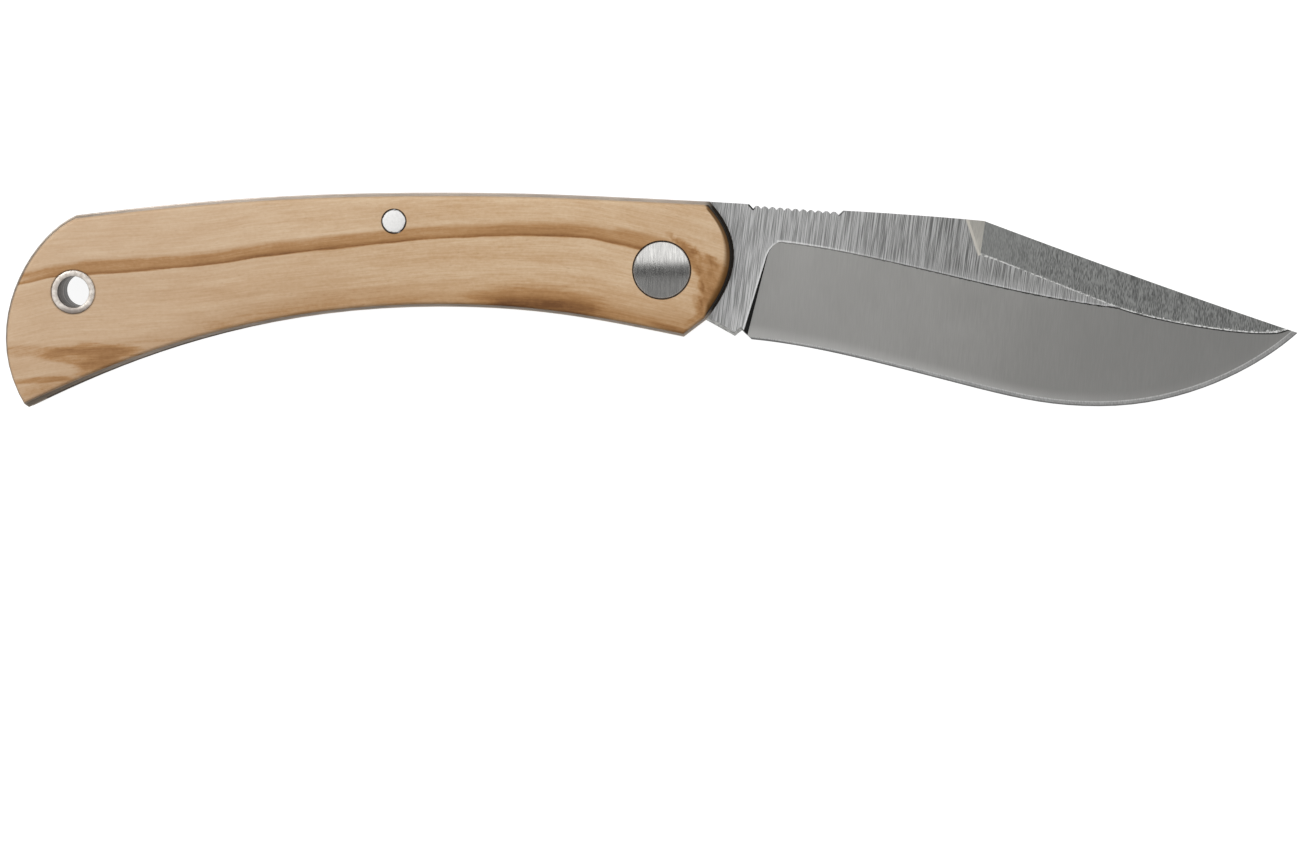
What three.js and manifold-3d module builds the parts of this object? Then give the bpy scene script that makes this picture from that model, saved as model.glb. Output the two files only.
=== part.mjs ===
import * as THREE from 'three';
import { mergeVertices } from 'three/addons/utils/BufferGeometryUtils.js';
import Module from 'manifold-3d';

// Folding pocket knife, open, lying on its rear scale. Millimetres.
// The origin is on the pivot axis at the rear face. X runs to the blade tip,
// Y to the back of the handle and Z up through the thickness to the front face.

// Thickness of each layer
const SCALE_THICKNESS = 2.7;
const LINER_THICKNESS = 0.8;
const BLADE_THICKNESS = 2.5;
const WASHER_THICKNESS = 0.15;
const WASHER_PLAY = 0.05;

// Handle, measured from the pivot axis
const HANDLE_REACH = 83.25;
const BUTT_DROP = 18.0;
const BUTT_RAKE = 6.85;
const BUTT_BULGE = 6.3;
const BUTT_TOP_HEIGHT = 7.1;
const BUTT_CORNER = 0.7;
const BUTT_CORNER_SIDE = 0.1;
const BUTT_CORNER_RISE = 0.5;
const BUTT_CORNER_FOOT = 0.65;
const CREST_BEHIND = 28.95;
const CREST_HEIGHT = 10.03;
const BELLY_DEPTH = 4.86;
const NOSE_TOP_AHEAD = 6.3;
const NOSE_TOP_HEIGHT = 8.85;
const NOSE_BULGE = 4.55;
const NOSE_FOOT_AHEAD = 5.8;
const NOSE_FOOT_DROP = 6.6;
const NOSE_BEVEL_RUN = 2.9;
const NOSE_BEVEL_DROP = 2.2;

// Handles of the handle's curves, as shares of the span from start to end
const NOSE_LIFTS = [0.372, 0.682];
const BACK_FRONT_PULLS = [[0.482, 0.716], [0.666, 1]];
const BACK_REAR_PULLS = [[0.357, 0], [0.625, 0.244]];
const BUTT_TOP_PULL = [0.08, 0.112];
const BUTT_BULGE_AT = 0.592;
const BELLY_REAR_PULLS = [[0.243, 0.484], [0.558, 1]];
const BELLY_FRONT_PULLS = [[0.403, 0], [0.645, 0.408]];

// Wooden scales
const SCALE_INSET = 0.42;
const SCALE_EDGE_RADIUS = 0.5;
const SCALE_EDGE_STEPS = 4;

// Pins, tube and their holes
const PIVOT_PIN_RADIUS = 2.0;
const PIVOT_CAP_RADIUS = 3.72;
const CAP_CHAMFER = 0.12;
const CAP_ROOF = 1.1;
const MID_PIN_BEHIND = 34.8;
const MID_PIN_DEPTH = 3.66;
const MID_PIN_RADIUS = 1.5;
const PIN_CHAMFER = 0.15;
const LANYARD_INSET = 6.7;
const LANYARD_DROP = 2.85;
const LANYARD_BORE_RADIUS = 2.05;
const LANYARD_WALL = 0.35;
const LANYARD_RIM_RADIUS = 2.85;
const LANYARD_RIM_HEIGHT = 0.7;
const LANYARD_RIM_ROUND = 0.2;
const LANYARD_SEAT_GAP = 0.04;
const RUNNING_GAP = 0.05;
const SEAT_RING_GAP = 0.09;

// Spring and the cam of the tang
const SPRING_SEAT = 5.35;
const SEAT_TILT_DEG = 2.2;
const SEAT_RUN = 13.5;
const SEAT_GAP = 0.06;
const SPRING_END_AHEAD = 4.4;
const SPRING_END_GAP = 0.12;
const SPRING_WEB = 0.5;
const SPRING_EYE_WALL = 0.9;
const SPRING_TAIL_DEPTH = 9.3;
const SPRING_WEB_RUN = 3;
const SPRING_SAG_SHARE = 0.55;
const SPRING_REAR_PLACE = 0.51;
const SPRING_REAR_LIFT = 0.84;

// Route of the spring's underside round its eye, in radii of the eye
const EYE_ROUTE = [[4.1, 1.2], [2.2, 0.3], [0.7, -0.8]];
const EYE_FOOT = [-0.2, -1.35];
const CAM_RISE = 0.5;
const CLOSE_ANGLE_DEG = 164;
const HALF_STOP_DEG = 90;

// Blade outline, measured from the pivot axis
const KICK_REACH = 11.86;
const NOTCH_AHEAD = 10.55;
const NOTCH_DROP = 7.98;
const HEEL_AHEAD = 11.82;
const HEEL_DROP = 9.2;
const BELLY_START_AHEAD = 41.75;
const BELLY_START_DROP = 15.71;
const BELLY_LOW_AHEAD = 57.5;
const BELLY_LOW_DROP = 18.0;
const TIP_AHEAD = 83.48;
const TIP_DROP = 8.35;
const CLIP_AHEAD = 42.25;
const CLIP_HEIGHT = 6.32;
const THUMB_STEP_AHEAD = 11.43;
const THUMB_STEP_HEIGHT = 8.53;
const THUMB_STEP_RUN = 0.6;
const THUMB_STEP_DROP = 0.64;

// Handles of the blade's curves, as shares of the span from start to end
const HEEL_PULLS = [[0.292, 0.128], [0.575, 0.5]];
const BELLY_PULLS = [[0.36, 0.618], [0.62, 1]];
const TIP_PULLS = [[0.51, 0], [0.875, 0.69]];
const CLIP_PULLS = [[0.327, 0.344], [0.651, 0.672]];
const SPINE_PULLS = [[0.27, 0.37], [0.727, 0.8]];
const GRIND_PULLS = [[0.267, 0.127], [0.696, 0.845]];
const RIDGE_PULLS = [[0.278, 0.77], [0.936, 1.5]];
const SWEDGE_PULLS = [[0.33, 0.32], [0.68, 0.7]];
const PLUNGE_PULLS = [[0.17, 0.55], [0.6, 1.02]];

// Jimping on the spine
const JIMP_PITCH = 1.0;
const JIMP_DEPTH = 0.45;
const JIMP_FULLNESS = 0.7;
const JIMP_END_AHEAD = 23.12;
const JIMP_END_HEIGHT = 7.05;
const JIMP_RUN_OUT = 0.7;
const SPINE_START_HEIGHT = 7.68;

// Bevels ground on both sides of the blade
const GRIND_START_AHEAD = 15.7;
const GRIND_START_HEIGHT = 3.61;
const GRIND_END_AHEAD = 59.72;
const GRIND_END_DROP = 5.0;
const RIDGE_END_BEFORE_TIP = 1.3;
const EDGE_HALF_THICKNESS = 0.2;
const CUTTING_HALF_THICKNESS = 0.03;
const EDGE_BAND_HEEL = 0.38;
const EDGE_BAND_BELLY = 0.68;
const PLUNGE_TOP_AHEAD = 13.66;
const PLUNGE_TOP_HEIGHT = 1.54;
const PLUNGE_RAKE = 0.305;
const PLUNGE_WALL_LEAN = 0.7;
const SWEDGE_SLOPE = 0.141;
const SWEDGE_START_AHEAD = 41.7;
const SWEDGE_START_HEIGHT = 2.0;
const SWEDGE_START_LEAN = 0.15;
const SWEDGE_RUN_IN = 1.45;
const KICK_CHAMFER = 0.5;

// Washers
const WASHER_RADIUS = 4.8;

// Fineness of round shapes
const ROUND_STEPS = 48;
const BOW_STEPS = 14;
const LONG_BOW_STEPS = 18;
const SHORT_BOW_STEPS = 8;
const SPINE_STEPS = 6;
const BUMP_STEPS = 8;
const CAM_STEPS = 10;
const GRIND_STEP = 1.6;
const MERGE_DISTANCE = 1e-5;

// How far the cutters reach past what they cut
const CUT_MARGIN = 1.5;
const CUT_CLEARANCE = 0.4;
const BAND_OVERRUN = 0.8;
const RUN_OUT_SHARE = 0.3;
const TIP_STOP = 0.3;

// Finishes
const BLADE_STEEL = { color: 0x8f8f8d, roughness: 0.36, metalness: 1 };
const SPRING_STEEL = { color: 0x9a9a98, roughness: 0.38, metalness: 1 };
const LINER_STEEL = { color: 0xa3a3a1, roughness: 0.34, metalness: 1 };
const OLIVE_WOOD = { color: 0xc39a67, roughness: 0.45, metalness: 0 };
const BRONZE = { color: 0xb08a4a, roughness: 0.35, metalness: 1 };
const DISC_STEEL = { color: 0xa9a9a7, roughness: 0.3, metalness: 1 };
const PIVOT_STEEL = { color: 0x8d8d8b, roughness: 0.4, metalness: 1 };
const PIN_STEEL = { color: 0xc9c9c6, roughness: 0.45, metalness: 1 };
const TUBE_STEEL = { color: 0xc4c4c0, roughness: 0.35, metalness: 1 };

// Levels of the stack, from the rear face up
const REAR_LINER_Z = SCALE_THICKNESS;
const GAP_Z = REAR_LINER_Z + LINER_THICKNESS;
const BLADE_Z = GAP_Z + WASHER_THICKNESS + WASHER_PLAY;
const BLADE_TOP_Z = BLADE_Z + BLADE_THICKNESS;
const FRONT_LINER_Z = BLADE_TOP_Z + WASHER_PLAY + WASHER_THICKNESS;
const FRONT_SCALE_Z = FRONT_LINER_Z + LINER_THICKNESS;
const TOTAL_Z = FRONT_SCALE_Z + SCALE_THICKNESS;
const MID_Z = TOTAL_Z / 2;
const HALF_BLADE = BLADE_THICKNESS / 2;
const OUT_LEVEL = HALF_BLADE + CUT_CLEARANCE;

const wasm = await Module();
wasm.setup();

const radians = THREE.MathUtils.degToRad;
const v2 = (x, y) => new THREE.Vector2(x, y);

// Curve between two points whose two handles are shares of the span
function bow(start, end, pulls, steps = BOW_STEPS) {
  const span = end.clone().sub(start);
  const handles = pulls.map(([along, up]) => v2(start.x + span.x * along, start.y + span.y * up));
  return new THREE.CubicBezierCurve(start, ...handles, end).getPoints(steps);
}

// Height of a line of points at one place along X, carried on past its ends
function heightAt(points, x) {
  let i = 0;
  while (i < points.length - 2 && points[i + 1].x < x) {
    i += 1;
  }
  const a = points[i];
  const b = points[i + 1];
  return a.y + ((b.y - a.y) * (x - a.x)) / (b.x - a.x);
}

function circlePoints(centre, radius, from = 0, to = 360, steps = ROUND_STEPS) {
  const whole = to - from === 360;
  const points = [];
  for (let i = 0; i < (whole ? steps : steps + 1); i += 1) {
    const angle = radians(from + ((to - from) * i) / steps);
    points.push(v2(centre.x + radius * Math.cos(angle), centre.y + radius * Math.sin(angle)));
  }
  return points;
}

// The outline moved inwards by one distance, its corners kept sharp
function insetOutline(points, distance) {
  return points.map((point, i) => {
    const before = points[(i + points.length - 1) % points.length];
    const after = points[(i + 1) % points.length];
    const inA = point.clone().sub(before).normalize();
    const inB = after.clone().sub(point).normalize();
    const normalA = v2(-inA.y, inA.x);
    const normalB = v2(-inB.y, inB.x);
    const reach = distance / (1 + normalA.dot(normalB));
    return point.clone().add(normalA.add(normalB).multiplyScalar(reach));
  });
}

// A closed body handed to the boolean kernel, turned to face outwards
function body(geometry) {
  const bare = geometry.clone();
  bare.deleteAttribute('normal');
  bare.deleteAttribute('uv');
  const merged = mergeVertices(bare, MERGE_DISTANCE);
  const place = merged.attributes.position;
  const triangles = [];
  let volume = 0;
  const a = new THREE.Vector3();
  const b = new THREE.Vector3();
  const c = new THREE.Vector3();
  for (let i = 0; i < merged.index.count; i += 3) {
    const ids = [0, 1, 2].map((k) => merged.index.getX(i + k));
    if (ids[0] === ids[1] || ids[1] === ids[2] || ids[2] === ids[0]) {
      continue;
    }
    a.fromBufferAttribute(place, ids[0]);
    b.fromBufferAttribute(place, ids[1]);
    c.fromBufferAttribute(place, ids[2]);
    volume += a.dot(b.clone().cross(c));
    triangles.push(ids);
  }
  const order = volume < 0 ? triangles.map((t) => [t[0], t[2], t[1]]) : triangles;
  return new wasm.Manifold(new wasm.Mesh({
    numProp: 3,
    vertProperties: new Float32Array(place.array),
    triVerts: new Uint32Array(order.flat()),
  }));
}

// Flat plate between two levels, with round holes
function plate(outline, bottom, top, holes = []) {
  const shape = new THREE.Shape(outline);
  for (const hole of holes) {
    shape.holes.push(new THREE.Path(circlePoints(hole.centre, hole.radius)));
  }
  const geometry = new THREE.ExtrudeGeometry(shape, { depth: top - bottom, bevelEnabled: false });
  geometry.translate(0, 0, bottom);
  return body(geometry);
}

// Round piece about an upright axis, from its half section of radius and level
function turned(section, centre) {
  const profile = section.map(([radius, level]) => v2(radius, level));
  const geometry = new THREE.LatheGeometry(profile, ROUND_STEPS);
  geometry.rotateX(Math.PI / 2);
  geometry.translate(centre.x, centre.y, 0);
  return body(geometry);
}

// Body through a row of matching three or four sided sections
function loft(sections) {
  const size = sections[0].length;
  const positions = sections.flat().flatMap((p) => [p.x, p.y, p.z]);
  const index = [];
  for (let s = 0; s < sections.length - 1; s += 1) {
    for (let k = 0; k < size; k += 1) {
      const a = s * size + k;
      const b = s * size + ((k + 1) % size);
      index.push(a, b, a + size, b, b + size, a + size);
    }
  }
  const last = (sections.length - 1) * size;
  for (let k = 1; k < size - 1; k += 1) {
    index.push(0, k + 1, k);
    index.push(last, last + k, last + k + 1);
  }
  const geometry = new THREE.BufferGeometry();
  geometry.setAttribute('position', new THREE.Float32BufferAttribute(positions, 3));
  geometry.setIndex(index);
  return body(geometry);
}

// Where the line from one point through another comes to a given level
function reachLevel(from, through, level) {
  const share = (level - from.z) / (through.z - from.z);
  return from.clone().lerp(through, share);
}

// The same cutter for the other side of the blade
function mirrored(cutter) {
  return cutter.scale([1, 1, -1]);
}

// Both sides of the blade cut by one cutter that is drawn about the middle plane
function cutBothSides(solid, cutter) {
  const front = cutter.translate([0, 0, MID_Z]);
  const rear = mirrored(cutter).translate([0, 0, MID_Z]);
  return solid.subtract(front).subtract(rear);
}

// Mesh with its name and finish
function piece(name, solid, finish) {
  const raw = solid.getMesh();
  const geometry = new THREE.BufferGeometry();
  geometry.setAttribute('position', new THREE.BufferAttribute(new Float32Array(raw.vertProperties), 3));
  geometry.setIndex(new THREE.BufferAttribute(new Uint32Array(raw.triVerts), 1));
  geometry.computeVertexNormals();
  const mesh = new THREE.Mesh(geometry, new THREE.MeshStandardMaterial(finish));
  mesh.name = name;
  return mesh;
}

// Handle outline, anticlockwise from the foot of the nose bevel

const buttTip = v2(-HANDLE_REACH, -BUTT_DROP);
const buttTop = v2(-HANDLE_REACH + BUTT_RAKE, BUTT_TOP_HEIGHT);
const crest = v2(-CREST_BEHIND, CREST_HEIGHT);
const bellyTop = v2(-CREST_BEHIND, -BELLY_DEPTH);
const noseTop = v2(NOSE_TOP_AHEAD, NOSE_TOP_HEIGHT);
const noseFoot = v2(NOSE_FOOT_AHEAD, -NOSE_FOOT_DROP);
const bellyFront = v2(NOSE_FOOT_AHEAD - NOSE_BEVEL_RUN, -NOSE_FOOT_DROP - NOSE_BEVEL_DROP);

function noseCurve() {
  const rise = noseTop.y - noseFoot.y;
  return new THREE.CubicBezierCurve(
    noseFoot,
    v2(noseFoot.x + NOSE_BULGE, noseFoot.y + rise * NOSE_LIFTS[0]),
    v2(noseTop.x + NOSE_BULGE, noseFoot.y + rise * NOSE_LIFTS[1]),
    noseTop,
  ).getPoints(BOW_STEPS);
}

function backCurve() {
  const front = bow(noseTop, crest, BACK_FRONT_PULLS);
  const rear = bow(crest, buttTop, BACK_REAR_PULLS);
  return [...front, ...rear.slice(1)];
}

function buttCurve(corner) {
  const drop = buttTip.y + corner * BUTT_CORNER_RISE - buttTop.y;
  const [inward, down] = BUTT_TOP_PULL;
  return new THREE.CubicBezierCurve(
    buttTop,
    v2(buttTip.x + BUTT_RAKE * inward, buttTop.y + drop * down),
    v2(buttTip.x - BUTT_BULGE, buttTop.y + drop * BUTT_BULGE_AT),
    v2(buttTip.x - corner * BUTT_CORNER_SIDE, buttTop.y + drop),
  ).getPoints(LONG_BOW_STEPS);
}

function bellyCurve(corner) {
  const start = v2(buttTip.x + corner * BUTT_CORNER_FOOT, buttTip.y);
  const rear = bow(start, bellyTop, BELLY_REAR_PULLS, LONG_BOW_STEPS);
  const front = bow(bellyTop, bellyFront, BELLY_FRONT_PULLS);
  return [...rear, ...front.slice(1)];
}

const backLine = backCurve();
const backLineRising = [...backLine].reverse();

// A blunted butt tip for the liners, or a sharp one with a corner of zero
function handleOutline(corner) {
  const belly = bellyCurve(corner);
  return [
    ...noseCurve(),
    ...backLine.slice(1),
    ...buttCurve(corner).slice(1),
    ...(corner > 0 ? belly : belly.slice(1)),
  ];
}

const pivot = v2(0, 0);
const midPin = v2(-MID_PIN_BEHIND, heightAt(backLineRising, -MID_PIN_BEHIND) - MID_PIN_DEPTH);
const lanyard = v2(-HANDLE_REACH + LANYARD_INSET, -LANYARD_DROP);
const lanyardTubeRadius = LANYARD_BORE_RADIUS + LANYARD_WALL;

// Spring, cam and kick share one seat line

const seatAngle = 90 - SEAT_TILT_DEG;
const seatNormal = v2(Math.cos(radians(seatAngle)), Math.sin(radians(seatAngle)));
const camFlat = SPRING_SEAT - SEAT_GAP;

function seatHeight(x, distance) {
  return (distance - seatNormal.x * x) / seatNormal.y;
}

function springEye() {
  return lanyardTubeRadius + RUNNING_GAP + SPRING_EYE_WALL;
}

// Where the butt's rim comes down to the spring's tail
function springTail() {
  const rim = buttCurve(BUTT_CORNER).filter((p) => p.y > -SPRING_TAIL_DEPTH);
  const above = rim[rim.length - 1];
  const below = buttCurve(BUTT_CORNER)[rim.length];
  const share = (above.y + SPRING_TAIL_DEPTH) / (above.y - below.y);
  return [...rim, above.clone().lerp(below, share)];
}

// Underside of the spring, from its seat under the centre pin and round the eye
function springUnderside() {
  const seatEnd = v2(-SEAT_RUN, seatHeight(-SEAT_RUN, SPRING_SEAT));
  const webY = midPin.y - MID_PIN_RADIUS - RUNNING_GAP - SPRING_WEB;
  const eye = springEye();
  return new THREE.SplineCurve([
    seatEnd,
    v2(-(SEAT_RUN + MID_PIN_BEHIND) / 2, seatEnd.y + (webY - seatEnd.y) * SPRING_SAG_SHARE),
    v2(midPin.x + MID_PIN_RADIUS, webY),
    v2(midPin.x - MID_PIN_RADIUS * SPRING_WEB_RUN, webY),
    v2(midPin.x + (lanyard.x - midPin.x) * SPRING_REAR_PLACE, webY * SPRING_REAR_LIFT),
    ...EYE_ROUTE.map(([ahead, up]) => v2(lanyard.x + eye * ahead, lanyard.y + eye * up)),
  ]).getPoints(BOW_STEPS * 2);
}

function springOutline() {
  const endX = SPRING_END_AHEAD - SPRING_END_GAP;
  const eye = springEye();
  return [
    v2(endX, seatHeight(endX, SPRING_SEAT)),
    v2(endX, heightAt(backLineRising, endX)),
    ...backLine.filter((p) => p.x < endX),
    ...springTail().slice(1),
    v2(lanyard.x + eye * EYE_FOOT[0], lanyard.y + eye * EYE_FOOT[1]),
    ...springUnderside().reverse(),
  ];
}

// Blade outline, anticlockwise from the kick

const tip = v2(TIP_AHEAD, -TIP_DROP);
const clipStart = v2(CLIP_AHEAD, CLIP_HEIGHT);
const jimpEnd = v2(JIMP_END_AHEAD, JIMP_END_HEIGHT);
const spineStart = v2(JIMP_END_AHEAD + JIMP_RUN_OUT, SPINE_START_HEIGHT);
const thumbStep = v2(THUMB_STEP_AHEAD, THUMB_STEP_HEIGHT);
const jimpStart = v2(THUMB_STEP_AHEAD + THUMB_STEP_RUN, THUMB_STEP_HEIGHT - THUMB_STEP_DROP);

function edgeCurve() {
  const heel = v2(HEEL_AHEAD, -HEEL_DROP);
  const bellyStart = v2(BELLY_START_AHEAD, -BELLY_START_DROP);
  const low = v2(BELLY_LOW_AHEAD, -BELLY_LOW_DROP);
  return [
    ...bow(heel, bellyStart, HEEL_PULLS),
    ...bow(bellyStart, low, BELLY_PULLS, SHORT_BOW_STEPS).slice(1),
    ...bow(low, tip, TIP_PULLS, LONG_BOW_STEPS).slice(1),
  ];
}

const edgeLine = edgeCurve();
const clipLine = bow(clipStart, tip, CLIP_PULLS);

function jimping() {
  const run = jimpEnd.x - jimpStart.x;
  const count = Math.floor(run / JIMP_PITCH);
  const pitch = run / count;
  const slope = (jimpEnd.y - jimpStart.y) / run;
  const points = [];
  for (let i = 0; i < count; i += 1) {
    for (let k = 0; k < BUMP_STEPS; k += 1) {
      const share = k / BUMP_STEPS;
      const x = jimpEnd.x - pitch * (i + share);
      const rise = JIMP_DEPTH * Math.sin(Math.PI * share) ** JIMP_FULLNESS;
      points.push(v2(x, jimpEnd.y + slope * (x - jimpEnd.x) + rise));
    }
  }
  return points;
}

function tangCam() {
  const camRadius = SPRING_SEAT + CAM_RISE;
  const half = THREE.MathUtils.radToDeg(Math.acos(camFlat / camRadius));
  const halfStop = seatAngle + HALF_STOP_DEG;
  const closed = seatAngle + CLOSE_ANGLE_DEG;
  return [
    ...circlePoints(pivot, camRadius, seatAngle + half, halfStop - half, CAM_STEPS),
    ...circlePoints(pivot, camRadius, halfStop + half, closed - half, CAM_STEPS),
    ...circlePoints(pivot, camRadius, closed + half, closed + half + 1, 1),
  ];
}

function kickTip() {
  const angle = radians(seatAngle + CLOSE_ANGLE_DEG);
  const normal = v2(Math.cos(angle), Math.sin(angle));
  const along = v2(-normal.y, normal.x);
  return normal.multiplyScalar(camFlat).add(along.multiplyScalar(KICK_REACH));
}

const kick = kickTip();

function bladeOutline() {
  return [
    kick,
    v2(NOTCH_AHEAD, -NOTCH_DROP),
    ...edgeLine,
    ...[...clipLine].reverse().slice(1),
    ...bow(clipStart, spineStart, SPINE_PULLS, SPINE_STEPS).slice(1),
    ...jimping(),
    jimpStart,
    thumbStep,
    v2(SPRING_END_AHEAD, heightAt(backLineRising, SPRING_END_AHEAD)),
    v2(SPRING_END_AHEAD, seatHeight(SPRING_END_AHEAD, camFlat)),
    ...tangCam(),
    noseFoot,
  ];
}

// Lines ground on the blade, all drawn about its middle plane

const grindStart = v2(GRIND_START_AHEAD, GRIND_START_HEIGHT);
const grindEnd = v2(GRIND_END_AHEAD, -GRIND_END_DROP);
const grindLine = bow(grindStart, grindEnd, GRIND_PULLS);

function ridgeLine() {
  const endX = TIP_AHEAD - RIDGE_END_BEFORE_TIP;
  return bow(grindEnd, v2(endX, heightAt(clipLine, endX)), RIDGE_PULLS);
}

const ridge = ridgeLine();
const grindAndRidge = [...grindLine, ...ridge.slice(1)];
const bevelSlope = (HALF_BLADE - EDGE_HALF_THICKNESS)
  / (grindEnd.y - heightAt(edgeLine, grindEnd.x));

function ridgePoint(x) {
  const y = heightAt(grindAndRidge, x);
  const height = y - heightAt(edgeLine, x);
  const level = x < grindEnd.x ? HALF_BLADE : EDGE_HALF_THICKNESS + bevelSlope * height;
  return new THREE.Vector3(x, y, Math.min(level, HALF_BLADE));
}

function stations(from, to) {
  const count = Math.ceil((to - from) / GRIND_STEP);
  return Array.from({ length: count + 1 }, (_, i) => from + ((to - from) * i) / count);
}

// Main bevel, from the grind line down past the edge
function bevelWedge() {
  const low = kick.x - CUT_MARGIN;
  const places = [...stations(low, grindEnd.x), ...stations(grindEnd.x, tip.x - TIP_STOP).slice(1)];
  const sections = places.map((x) => {
    const top = ridgePoint(x);
    const edge = new THREE.Vector3(x, heightAt(edgeLine, x), EDGE_HALF_THICKNESS);
    const share = 1 + CUT_MARGIN / (top.y - edge.y);
    const below = top.clone().lerp(edge, share);
    const past = reachLevel(below, top, OUT_LEVEL);
    return [below, past, new THREE.Vector3(x, below.y, OUT_LEVEL)];
  });
  const end = sections[sections.length - 1];
  sections.push(end.map((p) => p.clone().add(new THREE.Vector3(CUT_MARGIN, 0, 0))));
  return loft(sections);
}

// Plan of the plunge, with the rounded corner at its top
function plungePlan() {
  const low = -BELLY_LOW_DROP - CUT_MARGIN * 2;
  const top = v2(PLUNGE_TOP_AHEAD, PLUNGE_TOP_HEIGHT);
  const corner = bow(top, grindStart, PLUNGE_PULLS, SHORT_BOW_STEPS);
  const far = tip.x + CUT_MARGIN * 2;
  return [
    v2(far, low),
    v2(far, grindStart.y + CUT_MARGIN),
    v2(grindStart.x + CUT_MARGIN, grindStart.y + CUT_MARGIN),
    ...corner.reverse(),
    v2(top.x - PLUNGE_RAKE * (top.y - low), low),
  ];
}

// The plunge's leaning wall, as a plate whose two faces have the same plan
function plungeBlock() {
  const shape = new THREE.Shape(plungePlan());
  const depth = OUT_LEVEL - EDGE_HALF_THICKNESS + CUT_MARGIN;
  const geometry = new THREE.ExtrudeGeometry(shape, { depth, bevelEnabled: false });
  geometry.translate(0, 0, OUT_LEVEL - depth);
  const shear = new THREE.Matrix4().makeShear(0, 0, 0, 0, -PLUNGE_WALL_LEAN, 0);
  geometry.translate(0, 0, -HALF_BLADE);
  geometry.applyMatrix4(shear);
  geometry.translate(0, 0, HALF_BLADE);
  return body(geometry);
}

// One section of the swedge, whose low point may stand aside from its top
function swedgeSection(x, low) {
  const y = heightAt(clipLine, x) + CUT_MARGIN;
  const outer = new THREE.Vector3(x, y, low.z - SWEDGE_SLOPE * (y - low.y));
  return [outer, reachLevel(outer, low, OUT_LEVEL), new THREE.Vector3(x, y, OUT_LEVEL)];
}

// Swedge, from its ridge up past the clip and the end of the spine
function swedgeWedge() {
  const start = new THREE.Vector3(SWEDGE_START_AHEAD, SWEDGE_START_HEIGHT, HALF_BLADE);
  const swedgeLine = bow(v2(start.x, start.y), grindEnd, SWEDGE_PULLS);
  const rise = clipStart.y - start.y;
  const first = swedgeSection(start.x + SWEDGE_START_LEAN * (rise + CUT_MARGIN), start);
  const face = new THREE.Vector3(start.x - SWEDGE_RUN_IN, clipStart.y, HALF_BLADE);
  const away = face.clone().sub(start).multiplyScalar(1 + CUT_MARGIN / rise);
  first[2] = reachLevel(first[0], start.clone().add(away), OUT_LEVEL);
  const toRidge = stations(first[0].x, grindEnd.x).slice(1);
  const toTip = stations(grindEnd.x, tip.x - RIDGE_END_BEFORE_TIP).slice(1);
  return loft([
    first,
    ...toRidge.map((x) => swedgeSection(x, new THREE.Vector3(x, heightAt(swedgeLine, x), HALF_BLADE))),
    ...toTip.map((x) => swedgeSection(x, ridgePoint(x))),
  ]);
}

// Narrow bevel that follows a line of the outline, mitred where the line turns
function edgeBand(points, widthAt, edgeLevel, levelAt) {
  const sections = points.map((point, i) => {
    const width = widthAt(point);
    const slope = (levelAt(width) - edgeLevel) / width;
    const beyond = width * BAND_OVERRUN;
    const out = levelAt(width) + CUT_MARGIN;
    const before = points[Math.max(i - 1, 0)];
    const after = points[Math.min(i + 1, points.length - 1)];
    const into = i > 0 ? point.clone().sub(before).normalize() : null;
    const onward = i < points.length - 1 ? after.clone().sub(point).normalize() : into;
    const along = (into || onward).clone().add(onward).normalize();
    const inward = v2(-along.y, along.x).divideScalar(along.dot(onward));
    const at = (distance, level) => {
      const p = point.clone().add(inward.clone().multiplyScalar(distance));
      return new THREE.Vector3(p.x, p.y, level);
    };
    return [
      at(-beyond, edgeLevel - slope * beyond),
      at(width + CUT_MARGIN / slope, out),
      at(-beyond, out),
    ];
  });
  return loft(sections);
}

// Width of the sharpened band, widest from the belly to the tip
function sharpenedWidth(point) {
  const share = (point.x - HEEL_AHEAD) / (BELLY_START_AHEAD - HEEL_AHEAD);
  return THREE.MathUtils.lerp(EDGE_BAND_HEEL, EDGE_BAND_BELLY, THREE.MathUtils.clamp(share, 0, 1));
}

function sharpenedBand() {
  const last = edgeLine.length - 1;
  const line = [
    edgeLine[0].clone().lerp(edgeLine[1], -RUN_OUT_SHARE),
    ...edgeLine.slice(1, last),
    edgeLine[last].clone().lerp(edgeLine[last - 1], -RUN_OUT_SHARE),
  ];
  const innerLevel = (width) => EDGE_HALF_THICKNESS + bevelSlope * width;
  return edgeBand(line, sharpenedWidth, CUTTING_HALF_THICKNESS, innerLevel);
}

function kickBand() {
  const line = [
    noseFoot.clone().lerp(kick, -RUN_OUT_SHARE),
    kick,
    v2(NOTCH_AHEAD, -NOTCH_DROP).lerp(kick, -RUN_OUT_SHARE / 2),
  ];
  return edgeBand(line, () => KICK_CHAMFER, HALF_BLADE - KICK_CHAMFER, () => HALF_BLADE);
}

function buildBlade() {
  const bore = { centre: pivot, radius: PIVOT_PIN_RADIUS + RUNNING_GAP };
  let solid = plate(bladeOutline(), BLADE_Z, BLADE_TOP_Z, [bore]);
  solid = cutBothSides(solid, bevelWedge().intersect(plungeBlock()));
  solid = cutBothSides(solid, swedgeWedge());
  solid = cutBothSides(solid, sharpenedBand());
  solid = cutBothSides(solid, kickBand());
  return piece('blade', solid, BLADE_STEEL);
}

function buildSpring() {
  const holes = [
    { centre: midPin, radius: MID_PIN_RADIUS + RUNNING_GAP },
    { centre: lanyard, radius: lanyardTubeRadius + RUNNING_GAP },
  ];
  const solid = plate(springOutline(), GAP_Z, FRONT_LINER_Z, holes);
  return piece('backspring', solid, SPRING_STEEL);
}

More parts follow.
